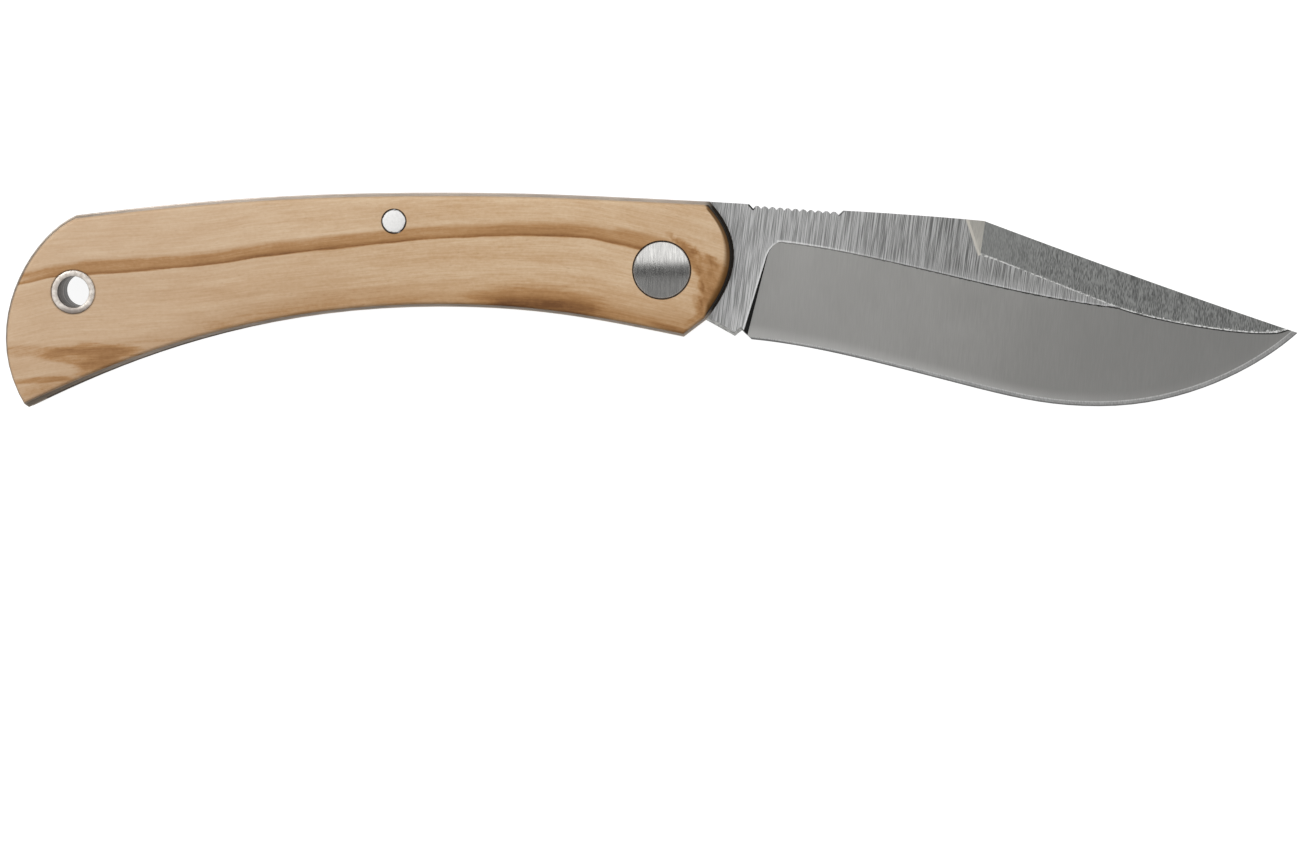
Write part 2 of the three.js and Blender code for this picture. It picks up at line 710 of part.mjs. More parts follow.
function buildLiner(name, bottom) {
  const holes = [
    { centre: pivot, radius: PIVOT_PIN_RADIUS + RUNNING_GAP },
    { centre: midPin, radius: MID_PIN_RADIUS + RUNNING_GAP },
    { centre: lanyard, radius: lanyardTubeRadius + RUNNING_GAP },
  ];
  const outline = handleOutline(BUTT_CORNER);
  const solid = plate(outline, bottom, bottom + LINER_THICKNESS, holes);
  return piece(name, solid, LINER_STEEL);
}

// Round cutter through a scale, from below its liner face to above its outer face
function scaleHole(centre, radius, widening = []) {
  const top = SCALE_THICKNESS + CUT_MARGIN;
  const mouth = widening.length ? widening[widening.length - 1][0] : radius;
  return turned([[0, -CUT_MARGIN], [radius, -CUT_MARGIN], ...widening, [mouth, top], [0, top]], centre);
}

// Front scale about its liner face at level zero, the outer edge rounded over
function scaleSolid() {
  const outline = insetOutline(handleOutline(0), SCALE_INSET);
  const geometry = new THREE.ExtrudeGeometry(new THREE.Shape(outline), {
    depth: SCALE_THICKNESS,
    bevelEnabled: true,
    bevelThickness: SCALE_EDGE_RADIUS,
    bevelSize: SCALE_EDGE_RADIUS,
    bevelOffset: -SCALE_EDGE_RADIUS,
    bevelSegments: SCALE_EDGE_STEPS,
  });
  geometry.translate(0, 0, -SCALE_EDGE_RADIUS);
  const block = body(geometry).trimByPlane([0, 0, 1], 0);
  const tubeSeat = lanyardTubeRadius + LANYARD_SEAT_GAP;
  const rimSeat = LANYARD_RIM_RADIUS + LANYARD_SEAT_GAP;
  return block
    .subtract(scaleHole(pivot, PIVOT_CAP_RADIUS + SEAT_RING_GAP))
    .subtract(scaleHole(midPin, MID_PIN_RADIUS + SEAT_RING_GAP))
    .subtract(scaleHole(lanyard, tubeSeat, [
      [tubeSeat, SCALE_THICKNESS - LANYARD_RIM_HEIGHT],
      [rimSeat, SCALE_THICKNESS - LANYARD_RIM_ROUND],
    ]));
}

function buildScale(name, front) {
  const solid = front
    ? scaleSolid().translate([0, 0, FRONT_SCALE_Z])
    : mirrored(scaleSolid()).translate([0, 0, SCALE_THICKNESS]);
  return piece(name, solid, OLIVE_WOOD);
}

function buildWasher(name, bottom) {
  const outline = circlePoints(pivot, WASHER_RADIUS);
  const bore = { centre: pivot, radius: PIVOT_PIN_RADIUS + RUNNING_GAP };
  const solid = plate(outline, bottom, bottom + WASHER_THICKNESS, [bore]);
  return piece(name, solid, BRONZE);
}

// Plain pivot disc with a blind bore for the pin, its face flush with the scale
function capSection(seat, face) {
  const out = Math.sign(face - seat);
  const boreRadius = PIVOT_PIN_RADIUS + RUNNING_GAP;
  return [
    [0, face - out * CAP_ROOF],
    [boreRadius, face - out * CAP_ROOF],
    [boreRadius, seat],
    [PIVOT_CAP_RADIUS, seat],
    [PIVOT_CAP_RADIUS, face - out * CAP_CHAMFER],
    [PIVOT_CAP_RADIUS - CAP_CHAMFER, face],
    [0, face],
  ];
}

function buildCap(name, seat, face) {
  const solid = turned(capSection(seat, face), pivot);
  return piece(name, solid, DISC_STEEL);
}

function pinSection(radius, chamfer, bottom, top) {
  return [
    [0, bottom],
    [radius - chamfer, bottom],
    [radius, bottom + chamfer],
    [radius, top - chamfer],
    [radius - chamfer, top],
    [0, top],
  ];
}

function buildPivotPin() {
  const short = CAP_ROOF + RUNNING_GAP * 2;
  const section = pinSection(PIVOT_PIN_RADIUS, PIN_CHAMFER, short, TOTAL_Z - short);
  return piece('pivot_pin', turned(section, pivot), PIVOT_STEEL);
}

function buildMidPin() {
  const section = pinSection(MID_PIN_RADIUS, PIN_CHAMFER, 0, TOTAL_Z);
  return piece('centre_pin', turned(section, midPin), PIN_STEEL);
}

// Flared tube: straight inside the liners, a rounded rim seated in each scale
function buildLanyardTube() {
  const halfFlare = (LANYARD_RIM_RADIUS - LANYARD_BORE_RADIUS) / 2;
  const mouth = [];
  for (let i = 0; i <= SHORT_BOW_STEPS; i += 1) {
    const angle = (Math.PI * i) / SHORT_BOW_STEPS;
    const radius = LANYARD_BORE_RADIUS + halfFlare * (1 + Math.cos(angle));
    mouth.push([radius, TOTAL_Z - LANYARD_RIM_ROUND * (1 - Math.sin(angle))]);
  }
  const upper = [[lanyardTubeRadius, TOTAL_Z - LANYARD_RIM_HEIGHT], ...mouth];
  const lower = [...upper].reverse().map(([radius, level]) => [radius, TOTAL_Z - level]);
  const section = [...lower, ...upper, lower[0]];
  return piece('lanyard_tube', turned(section, lanyard), TUBE_STEEL);
}

const knife = new THREE.Group();
knife.name = 'pocket_knife';
knife.add(
  buildBlade(),
  buildSpring(),
  buildLiner('front_liner', FRONT_LINER_Z),
  buildLiner('rear_liner', REAR_LINER_Z),
  buildScale('front_scale', true),
  buildScale('rear_scale', false),
  buildWasher('front_washer', FRONT_LINER_Z - WASHER_THICKNESS),
  buildWasher('rear_washer', GAP_Z),
  buildPivotPin(),
  buildCap('front_pivot_cap', FRONT_SCALE_Z, TOTAL_Z),
  buildCap('rear_pivot_cap', REAR_LINER_Z, 0),
  buildMidPin(),
  buildLanyardTube(),
);

export default knife;
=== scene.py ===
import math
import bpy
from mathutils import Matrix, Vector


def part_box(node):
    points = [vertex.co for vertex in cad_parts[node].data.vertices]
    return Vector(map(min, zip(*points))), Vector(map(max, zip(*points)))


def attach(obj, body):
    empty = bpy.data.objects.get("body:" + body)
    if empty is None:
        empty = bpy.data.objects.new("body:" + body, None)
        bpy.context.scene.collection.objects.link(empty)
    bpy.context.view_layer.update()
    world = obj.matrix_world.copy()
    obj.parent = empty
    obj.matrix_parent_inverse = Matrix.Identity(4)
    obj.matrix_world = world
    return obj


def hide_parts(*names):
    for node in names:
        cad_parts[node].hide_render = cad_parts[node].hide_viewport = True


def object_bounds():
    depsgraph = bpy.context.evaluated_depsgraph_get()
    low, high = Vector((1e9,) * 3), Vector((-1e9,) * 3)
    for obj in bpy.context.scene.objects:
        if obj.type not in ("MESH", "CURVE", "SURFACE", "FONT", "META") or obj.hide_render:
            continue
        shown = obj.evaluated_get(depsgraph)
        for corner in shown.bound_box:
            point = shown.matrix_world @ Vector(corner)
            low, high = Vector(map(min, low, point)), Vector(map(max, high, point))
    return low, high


bl_info = {
    "name": "Folding Pocket Knife Workshop",
    "version": (1, 0, 0),
    "blender": (4, 5, 0),
    "location": "View3D > Sidebar > Knife",
    "description": "Dresses the packed folding knife in ground steel and figured olive wood",
    "category": "Object",
}

import bpy
from bpy.props import FloatProperty, FloatVectorProperty, IntProperty, PointerProperty
from mathutils import Vector

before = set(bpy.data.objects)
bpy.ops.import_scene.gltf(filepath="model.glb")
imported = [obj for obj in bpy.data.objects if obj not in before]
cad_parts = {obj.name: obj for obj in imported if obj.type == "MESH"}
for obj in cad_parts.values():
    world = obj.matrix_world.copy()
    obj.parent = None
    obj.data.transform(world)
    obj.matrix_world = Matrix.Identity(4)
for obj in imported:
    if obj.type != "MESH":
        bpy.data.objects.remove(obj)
CAD_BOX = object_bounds()

MM = 0.001

# Middle of the thickness, in millimetres
MIDDLE = (CAD_BOX[0][2] + CAD_BOX[1][2]) / 2 / MM


def tint(red, green, blue):
    """A colour as it looks on a screen, 0 to 255, turned into the linear values that shaders use."""
    return tuple(
        ((part / 255 + 0.055) / 1.055) ** 2.4 if part > 10 else part / 255 / 12.92
        for part in (red, green, blue)
    )


def node_box(name):
    """Lowest and highest corners of a CAD node, in metres."""
    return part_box(name)


def node_axis(name):
    """Centre line of a turned CAD node, as a point in the plan view."""
    low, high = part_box(name)
    return Vector(((low.x + high.x) / 2, (low.y + high.y) / 2, 0))


def node_radius(name):
    """Radius of a turned CAD node."""
    low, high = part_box(name)
    return (high.x - low.x) / 2


def length(name, description, default):
    """A size in metres that the sidebar shows with its unit."""
    return FloatProperty(
        name=name, description=description, default=default, min=0.0, precision=6, unit="LENGTH"
    )


def colour(name, description, default):
    """A colour picked in the sidebar."""
    return FloatVectorProperty(
        name=name, description=description, default=default, size=3, min=0.0, max=1.0,
        subtype="COLOR",
    )


class KnifeSizes(bpy.types.PropertyGroup):
    """Sizes of the fine shapes that the dressing adds to the frame"""

    disc_crown: length("Disc crown", "How far a pivot disc falls from its centre to its rim", 0.16 * MM)
    disc_rim: length("Disc rim", "Chamfer round the face of a pivot disc", 0.10 * MM)
    pin_crown: length("Pin crown", "How far the centre pin's peened end falls to its rim", 0.12 * MM)
    tube_flare: length("Tube flare", "Height of the rounded mouth of the lanyard tube", 0.2 * MM)
    edge_break: length("Edge break", "Small bevel that takes the sharpness off steel edges", 0.05 * MM)
    liner_round: length("Liner rounding", "Radius worn onto the outer edge of each liner", 0.14 * MM)
    ring_count: IntProperty(
        name="Ring count", description="Sides of a turned piece", default=96, min=24
    )


class KnifeColours(bpy.types.PropertyGroup):
    """Colours of the finishes"""

    wood_pale: colour("Pale wood", "Lightest sapwood between the grain lines", tint(226, 198, 164))
    wood_tan: colour("Tan wood", "Common colour of the olive wood", tint(205, 168, 128))
    wood_amber: colour("Amber wood", "Warm wood beside the dark figure", tint(184, 140, 94))
    wood_brown: colour("Brown figure", "Dark heartwood figure", tint(157, 112, 68))
    wood_deep: colour("Deep figure", "Darkest line in the figure", tint(120, 80, 46))
    steel: colour("Blade steel", "Ground blade steel", tint(214, 214, 213))
    steel_shade: colour("Steel in the scratches", "Bottom of the brush scratches", tint(124, 124, 123))
    frame_steel: colour("Frame steel", "Liners and backspring", tint(195, 183, 171))
    pin_steel: colour("Pin steel", "Centre pin and lanyard tube", tint(252, 251, 249))
    bronze: colour("Bronze", "Washers at the pivot", tint(190, 146, 84))


def sizes():
    """The sizes as set in the sidebar."""
    return bpy.context.scene.knife_sizes


def colours():
    """The colours as set in the sidebar."""
    return bpy.context.scene.knife_colours


# Shaping

# Distance under which two levels count as one
SAME_LEVEL = 0.001 * MM

# Reach round a bore in which an edge belongs to the bore and not to the outline
BORE_REACH = 3.2 * MM


def only(piece):
    """Object mode, with this piece alone selected and active."""
    if bpy.context.object and bpy.context.object.mode != "OBJECT":
        bpy.ops.object.mode_set(mode="OBJECT")
    bpy.ops.object.select_all(action="DESELECT")
    if piece is not None:
        piece.select_set(True)
        bpy.context.view_layer.objects.active = piece


def choose_edges(piece, numbers):
    """Edit mode, with only the edges of these numbers selected."""
    only(piece)
    bpy.ops.object.mode_set(mode="EDIT")
    bpy.ops.mesh.select_mode(type="EDGE")
    bpy.ops.mesh.select_all(action="DESELECT")
    bpy.ops.object.mode_set(mode="OBJECT")
    for edge in piece.data.edges:
        edge.select = edge.index in numbers
    bpy.ops.object.mode_set(mode="EDIT")


def copy_of_node(node_name, piece_name):
    """A merged copy of a CAD node, a piece of its own with flat faces made whole again."""
    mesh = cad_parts[node_name].data.copy()
    mesh.name = piece_name
    mesh.materials.clear()
    piece = bpy.data.objects.new(piece_name, mesh)
    bpy.context.scene.collection.objects.link(piece)
    only(piece)
    bpy.ops.mesh.customdata_custom_splitnormals_clear()
    bpy.ops.object.mode_set(mode="EDIT")
    bpy.ops.mesh.select_all(action="SELECT")
    bpy.ops.mesh.remove_doubles(threshold=0.0002 * MM)
    bpy.ops.mesh.dissolve_limited(angle_limit=math.radians(0.05), delimit={"NORMAL"})
    bpy.ops.object.mode_set(mode="OBJECT")
    return piece


def turned_piece(name, node, profile, slot, finish, closed=False, crisp=30):
    """A dressed piece turned about a node's axis: a ring pulled along the half section."""
    axis = node_axis(node)
    radius, level = profile[0]
    only(None)
    bpy.ops.mesh.primitive_circle_add(
        vertices=sizes().ring_count, radius=radius, location=(axis.x, axis.y, level)
    )
    piece = bpy.context.object
    piece.name = name
    piece.data.name = name
    bpy.ops.object.mode_set(mode="EDIT")
    bpy.ops.mesh.select_all(action="SELECT")
    for next_radius, next_level in profile[1:]:
        bpy.ops.mesh.extrude_region_move(
            TRANSFORM_OT_translate={"value": (0, 0, next_level - level)}
        )
        share = next_radius / radius
        bpy.ops.transform.resize(
            value=(share, share, 1), center_override=(axis.x, axis.y, next_level)
        )
        radius, level = next_radius, next_level
    bpy.ops.mesh.select_all(action="SELECT")
    if closed:
        bpy.ops.mesh.remove_doubles(threshold=0.0005 * MM)
    else:
        bpy.ops.mesh.fill_holes(sides=0)
        bpy.ops.mesh.select_all(action="SELECT")
    bpy.ops.mesh.normals_make_consistent(inside=False)
    bpy.ops.object.mode_set(mode="OBJECT")
    bpy.ops.object.transform_apply(location=True, rotation=True, scale=True)
    smooth(piece, crisp)
    dress(piece, "handle", slot, node, finish)


def outline_edges(piece, level):
    """Numbers of the edges between a level face and the upright wall, without those of the bores."""
    faces, wall = set(), set()
    for face in piece.data.polygons:
        tilt = abs(face.normal.z)
        found = faces if tilt > 0.9 else wall if tilt < 0.1 else None
        if found is not None:
            found.update(face.edge_keys)
    shared = faces & wall
    bores = [node_axis(node).xy for node in ("pivot_pin", "centre_pin", "lanyard_tube")]
    numbers = set()
    for edge in piece.data.edges:
        ends = [piece.data.vertices[index].co for index in edge.vertices]
        on_face = all(abs(end.z - level) < SAME_LEVEL for end in ends)
        clear = all((end.xy - bore).length > BORE_REACH for end in ends for bore in bores)
        if on_face and clear and tuple(sorted(edge.vertices)) in shared:
            numbers.add(edge.index)
    return numbers


def smooth(piece, angle):
    """Smooth shading, with edges steeper than the angle left crisp."""
    only(piece)
    bpy.ops.object.shade_smooth_by_angle(angle=math.radians(angle))


def dress(piece, body, slot, node, *finishes):
    """Gives a finished piece its materials and its body, and hides the CAD node it stands for; the slot
    is not used.
    """
    for finish in finishes:
        piece.data.materials.append(finish)
    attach(piece, body)
    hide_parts(node)


# Finishes, with every place, size and depth in millimetres

class Finish:
    """The nodes of one material while they are put together."""

    def __init__(self, name):
        self.material = bpy.data.materials.new(name)
        self.material.use_nodes = True
        self.tree = self.material.node_tree
        self.tree.nodes.clear()
        scaled = self.add("ShaderNodeVectorMath", operation="SCALE")
        self.feed(scaled.inputs[0], self.add("ShaderNodeTexCoord").outputs["Object"])
        scaled.inputs["Scale"].default_value = 1 / MM
        self.point = scaled.outputs["Vector"]
        axes = self.add("ShaderNodeSeparateXYZ")
        self.feed(axes.inputs[0], self.point)
        self.x, self.y, self.z = axes.outputs
        self.shade = None

    def add(self, kind, **settings):
        """A node with its settings."""
        node = self.tree.nodes.new(kind)
        for key, value in settings.items():
            setattr(node, key, value)
        return node

    def feed(self, socket, value):
        """Links an output to a socket, or sets the socket to a plain value."""
        if isinstance(value, bpy.types.NodeSocket):
            self.tree.links.new(value, socket)
        else:
            socket.default_value = value

    def maths(self, operation, first, second=0.0, clamp=False):
        """One step of arithmetic."""
        node = self.add("ShaderNodeMath", operation=operation, use_clamp=clamp)
        self.feed(node.inputs[0], first)
        self.feed(node.inputs[1], second)
        return node.outputs[0]

    def plus(self, total, *others):
        """Sum of all the values."""
        for other in others:
            total = self.maths("ADD", total, other)
        return total

    def times(self, total, *others):
        """Product of all the values."""
        for other in others:
            total = self.maths("MULTIPLY", total, other)
        return total

    def minus(self, first, second):
        """The first value less the second."""
        return self.maths("SUBTRACT", first, second)

    def most(self, first, second):
        """The larger of two values."""
        return self.maths("MAXIMUM", first, second)

    def gap(self, first, second):
        """How far two values are apart."""
        return self.maths("ABSOLUTE", self.minus(first, second))

    def weigh(self, *layers):
        """Sum of layers, each given with its weight."""
        return self.plus(*(self.times(layer, weight) for layer, weight in layers))

    def spread(self, value, low, high, start=0.0, end=1.0, ends="SMOOTHSTEP"):
        """Takes low to high onto start to end with soft ends."""
        node = self.add("ShaderNodeMapRange", interpolation_type=ends)
        for socket, given in zip(node.inputs, (value, low, high, start, end)):
            self.feed(socket, given)
        return node.outputs[0]

    def fade(self, value, low, high):
        """1 up to low, then softly down to 0 at high."""
        return self.spread(value, low, high, 1.0, 0.0)

    def rescale(self, value, low, high, start=0.0, end=1.0):
        """Takes low to high onto start to end in a straight line."""
        return self.spread(value, low, high, start, end, "LINEAR")

    def mapped(self, vector, size, turn, centre):
        """A vector turned about z and measured from a centre in units of the given size."""
        node = self.add("ShaderNodeMapping", vector_type="TEXTURE")
        self.feed(node.inputs["Vector"], vector)
        node.inputs["Location"].default_value = centre
        node.inputs["Rotation"].default_value = (0, 0, math.radians(turn))
        node.inputs["Scale"].default_value = size
        return node.outputs[0]

    def away(self, centre=(0, 0), reach=(1, 1), turn=0.0):
        """Distance in the plan view from a centre, counted in reaches."""
        node = self.add("ShaderNodeVectorMath", operation="LENGTH")
        self.feed(node.inputs[0], self.mapped(self.point, (*reach, 1e6), turn, (*centre, 0)))
        return node.outputs["Value"]

    def noise(self, size, turn=0.0, seed=(0, 0, 0), detail=2.0, roughness=0.5, on=None):
        """Noise whose grain has the given size along each axis, on the piece or another vector."""
        node = self.add("ShaderNodeTexNoise")
        vector = self.point if on is None else on
        self.feed(node.inputs["Vector"], self.mapped(vector, size, turn, seed))
        node.inputs["Scale"].default_value = 1.0
        node.inputs["Detail"].default_value = detail
        node.inputs["Roughness"].default_value = roughness
        return node.outputs["Fac"]

    def blend(self, share, first, second):
        """Goes from the first colour to the second as the share grows."""
        node = self.add("ShaderNodeMix", data_type="RGBA")
        self.feed(node.inputs[0], share)
        for socket, given in ((node.inputs[6], first), (node.inputs[7], second)):
            self.feed(socket, given if isinstance(given, bpy.types.NodeSocket) else (*given, 1))
        return node.outputs[2]

    def start(self, value, low, high, dark, pale):
        """Starts the shade, dark up to low and pale from high on."""
        self.shade = self.blend(self.spread(value, low, high), dark, pale)

    def paint(self, share, over):
        """Lays a colour over the shade so far, more of it as the share grows."""
        self.shade = self.blend(share, self.shade, over)

    def ramp(self, value, stops):
        """A run of colours over a value."""
        node = self.add("ShaderNodeValToRGB")
        self.feed(node.inputs[0], value)
        elements = node.color_ramp.elements
        while len(elements) < len(stops):
            elements.new(0.5)
        for element, (at, shade) in zip(elements, stops):
            element.position = at
            element.color = (*shade, 1)
        return node.outputs[0]

    def along(self, value, points, margin=1.0):
        """A soft curve through points, read at the value."""
        left, right = points[0][0], points[-1][0]
        bottom = min(y for _, y in points) - margin
        top = max(y for _, y in points) + margin
        node = self.add("ShaderNodeFloatCurve")
        curve = node.mapping.curves[0]
        while len(curve.points) < len(points):
            curve.points.new(0.5, 0.5)
        for point, (x, y) in zip(curve.points, points):
            point.location = ((x - left) / (right - left), (y - bottom) / (top - bottom))
        node.mapping.update()
        self.feed(node.inputs["Value"], self.rescale(value, left, right))
        return self.rescale(node.outputs[0], 0.0, 1.0, bottom, top)

    def above(self, line):
        """How far a place is above a line that runs along x."""
        return self.minus(self.y, self.along(self.x, line))

    def under(self, line):
        """How far a place is below a line that runs along x."""
        return self.minus(self.along(self.x, line), self.y)

    def close(self, metal, gloss, relief, depth, **more):
        """Shades the surface over a relief of the given depth; returns the finished material."""
        bump = self.add("ShaderNodeBump")
        bump.inputs["Strength"].default_value = 1.0
        bump.inputs["Distance"].default_value = depth * MM
        self.feed(bump.inputs["Height"], relief)
        shader = self.add("ShaderNodeBsdfPrincipled")
        given = dict(Base_Color=self.shade, Metallic=metal, Roughness=gloss, Normal=bump.outputs[0])
        for key, value in {**given, **more}.items():
            self.feed(shader.inputs[key.replace("_", " ")], value)
        return self.show(shader)

    def show(self, shader):
        """Puts a shader on the surface; returns the finished material."""
        output = self.add("ShaderNodeOutputMaterial")
        self.tree.links.new(shader.outputs[0], output.inputs["Surface"])
        return self.material


def known(make, *given, name=None):
    """What a maker of a finish makes, made once and named like the maker if no name is given."""
    name = name or make.__name__
    return bpy.data.materials.get(name) or make(name, *given)


# Steel

# Thumb step and ramp at the end of the jimping, where shade is painted, and the side of the swedge's
# first facet, where a highlight is painted
STEP_TOP, STEP_FOOT = (11.43, 8.53), (12.03, 7.89)
RAMP_FOOT, RAMP_TOP = (23.12, 7.05), (23.82, 7.68)
FACET_TOP, FACET_FOOT = (40.1, 6.6), (41.7, 1.95)


def beside_segment(finish, start, stop, width):
    """A soft line of the given width along a straight segment, 1 on it and 0 away from it."""
    run = Vector(stop) - Vector(start)
    aim = run.normalized()
    right, up = finish.minus(finish.x, start[0]), finish.minus(finish.y, start[1])
    ahead = finish.weigh((right, aim.x), (up, aim.y))
    aside = finish.gap(finish.times(right, aim.y), finish.times(up, aim.x))
    return finish.times(
        finish.fade(aside, width * 0.6, width), finish.spread(ahead, -0.1, 0.05),
        finish.fade(ahead, run.length, run.length + 0.15),
    )


def cross_brushed_steel(name, lines):
    """Long straight scratches across the flats, with painted light towards the handle and above the
    grind, painted highlights round the bevel and beside the facet, and painted shade at the thumb step.
    """
    finish = Finish(name)
    shades = colours()
    x, y = finish.x, finish.y
    fine = finish.noise((0.07, 4.5, 0.1), -8, detail=1, roughness=0.6)
    long = finish.noise((0.12, 12, 0.1), -7, seed=(70, 20, 0), detail=1)
    broad = finish.noise((1.6, 9, 0.7), -7, seed=(300, 100, 0))
    height = finish.weigh((fine, 0.6), (long, 0.4))
    scratch = finish.spread(height, 0.40, 0.60)
    tone = finish.spread(finish.weigh((scratch, 0.85), (broad, 0.12)), 0.04, 0.93)
    finish.shade = finish.blend(tone, shades.steel_shade, shades.steel)
    pale = finish.blend(tone, tint(188, 188, 188), tint(255, 255, 255))
    # Painted light: the flats are lightened towards the handle.
    finish.paint(finish.spread(x, 18, 42, 0.45, 0), pale)
    grind = finish.along(x, lines["grind"])
    # Painted light: a pale zone just above the grind line.
    finish.paint(finish.spread(finish.minus(y, grind), 0.1, 1.6, 0.3, 0), pale)

    # Painted highlight: a near white rim beside the plunge and along the top of the grind.
    beside = finish.gap(x, finish.along(y, lines["plunge"]))
    left = finish.times(finish.fade(beside, 0.16, 0.34), finish.fade(y, 3.3, 3.5))
    top = finish.times(
        finish.fade(finish.gap(y, grind), 0.12, 0.28),
        finish.spread(x, 14.9, 15.2), finish.spread(x, 17, 30, 1, 0.35),
    )
    lip_highlight = finish.times(finish.most(left, top), finish.spread(scratch, 0, 0.6, 0.55, 1))
    finish.paint(lip_highlight, tint(255, 255, 254))
    # Painted highlight: the pale side of the swedge's first facet, carried onto the flat.
    facet = finish.times(beside_segment(finish, FACET_TOP, FACET_FOOT, 0.42), 0.85)
    finish.paint(facet, tint(238, 233, 222))
    # Painted shade: dark lines on the thumb step and on the ramp at the end of the jimping.
    step = beside_segment(finish, STEP_TOP, STEP_FOOT, 0.26)
    ramp = beside_segment(finish, RAMP_FOOT, RAMP_TOP, 0.2)
    finish.paint(finish.most(step, finish.times(ramp, 0.6)), tint(24, 24, 24))
    metal = finish.rescale(lip_highlight, 0, 1, 1, 0.5)
    gloss = finish.rescale(scratch, 0, 1, 0.48, 0.38)
    return finish.close(metal, gloss, height, 0.004, Anisotropic=0.3)


def belt_ground_steel(name, lines):
    """Nearly plain satin of the main bevel, with painted shade along the foot of the grind and under
    the ridge, painted light near the edge and towards the heel, and painted shade towards the tip.
    """
    finish = Finish(name)
    x = finish.x
    fine = finish.noise((0.12, 6, 0.16), -4)
    cloud = finish.noise((9, 14, 9), seed=(200, 0, 0))
    tone = finish.weigh((fine, 0.3), (cloud, 0.3))
    finish.start(tone, 0.15, 0.5, tint(178, 177, 174), tint(196, 195, 192))
    above = finish.above(lines["edge"])
    # Painted light: the bevel is lightened near the edge, less towards the tip.
    painted_edge_light = finish.times(finish.fade(above, 0.2, 2.1), finish.spread(x, 48, 76, 0.55, 0.1))
    finish.paint(painted_edge_light, tint(244, 243, 240))
    # Painted light towards the heel, then painted shade towards the tip.
    finish.paint(finish.spread(x, 18, 48, 0.28, 0), tint(226, 225, 222))
    finish.paint(finish.spread(x, 34, 76, 0, 0.4), tint(146, 146, 145))

    # Painted shade: a dark line along the foot of the grind and under the ridge.
    meet = lines["ridge"][0][0]
    grit = finish.rescale(finish.noise((0.3, 0.3, 0.3)), 0.3, 0.7, -0.05, 0.05)
    below = finish.plus(finish.under(lines["grind"]), grit)
    foot = finish.times(finish.fade(below, 0.08, 0.22), finish.fade(x, meet - 0.2, meet + 0.8))
    ridge = finish.fade(finish.under(lines["ridge"]), 0.08, 0.22)
    ridge = finish.times(ridge, finish.spread(x, meet - 0.7, meet + 0.3))
    dark = finish.times(finish.most(foot, ridge), finish.spread(x, 15, 44, 0.45, 0.92))
    finish.paint(dark, tint(38, 38, 37))
    gloss = finish.rescale(fine, 0.3, 0.7, 0.34, 0.40)
    return finish.close(1, gloss, fine, 0.0015)


def swedge_steel(name, lines):
    """Darker, finely brushed swedge along the clip, with a painted highlight in a broken line along its
    foot.
    """
    finish = Finish(name)
    x = finish.x
    fine = finish.noise((0.07, 2.4, 0.1), -2, detail=1, roughness=0.6)
    broad = finish.noise((1.1, 7, 0.8), seed=(100, 200, 0))
    tone = finish.weigh((fine, 0.84), (broad, 0.16))
    finish.start(tone, 0.38, 0.62, tint(112, 113, 112), tint(174, 175, 173))
    finish.paint(finish.spread(x, 42, 54, 0.60, 0), tint(158, 159, 157))
    # Painted highlight: a near white broken line along the foot of the swedge.
    spikes = finish.noise((0.1, 0.9, 0.1), -3, seed=(400, 0, 0))
    above = finish.minus(finish.above(lines["swedge"]), finish.spread(spikes, 0.55, 0.8, 0, 0.35))
    bits = finish.noise((0.35, 0.2, 0.3), seed=(200, 200, 0), detail=3)
    swedge_glint = finish.times(
        finish.fade(above, 0.10, 0.24), finish.spread(bits, 0.38, 0.58, 0.15, 1),
        finish.spread(x, 56, 64, 0.7, 0.95),
    )
    finish.paint(swedge_glint, tint(255, 255, 253))
    metal = finish.rescale(swedge_glint, 0, 1, 1, 0.3)
    gloss = finish.rescale(fine, 0.3, 0.7, 0.5, 0.4)
    return finish.close(metal, gloss, fine, 0.004)


def lapped_steel(name):
    """Smooth first facet of the swedge."""
    finish = Finish(name)
    fine = finish.noise((0.12, 1.2, 0.5), -8)
    finish.start(fine, 0.3, 0.7, tint(222, 218, 208), tint(244, 240, 230))
    finish.paint(finish.spread(finish.y, 1.8, 6.2, 0, 0.35), tint(182, 181, 176))
    return finish.close(1, 0.32, fine, 0.001)


def whetted_steel(name, lines):
    """The sharpened band: short stone marks, a painted highlight along its top line and painted shade
    along the edge.
    """
    finish = Finish(name)
    marks = finish.noise((0.12, 0.6, 0.3), 12, detail=3, roughness=0.7)
    worn = finish.noise((2.5, 2.5, 2.5))
    tone = finish.weigh((marks, 0.7), (worn, 0.3))
    finish.start(tone, 0.36, 0.64, tint(180, 180, 179), tint(212, 212, 211))
    # Painted shade: dark along the very edge.
    above = finish.above(lines["edge"])
    finish.paint(finish.spread(above, 0.12, 0.24, 0.6, 0), tint(84, 84, 83))
    # Painted highlight: a near white line along the top of the band.
    band_highlight = finish.fade(finish.under(lines["band"]), 0.10, 0.22)
    band_highlight = finish.times(band_highlight, finish.spread(marks, 0.34, 0.56, 0.3, 0.7))
    finish.paint(band_highlight, tint(240, 240, 238))
    metal = finish.rescale(band_highlight, 0, 1, 1, 0.55)
    return finish.close(metal, 0.38, marks, 0.0015)


def kick_steel(name):
    """Chamfers round the kick, left from the belt and duller than the faces."""
    finish = Finish(name)
    fine = finish.noise((0.5, 0.12, 0.2), -30, detail=3)
    finish.start(fine, 0.35, 0.65, tint(134, 134, 132), tint(182, 182, 179))
    return finish.close(1, 0.42, fine, 0.002)


def unpolished_steel(name):
    """The plunge wall, painted near black for the shade that falls on it."""
    finish = Finish(name)
    grit = finish.noise((0.12, 0.12, 0.12), detail=3, roughness=0.7)
    finish.start(grit, 0.3, 0.7, tint(18, 18, 18), tint(44, 44, 43))
    return finish.close(0.8, 0.6, grit, 0.004)


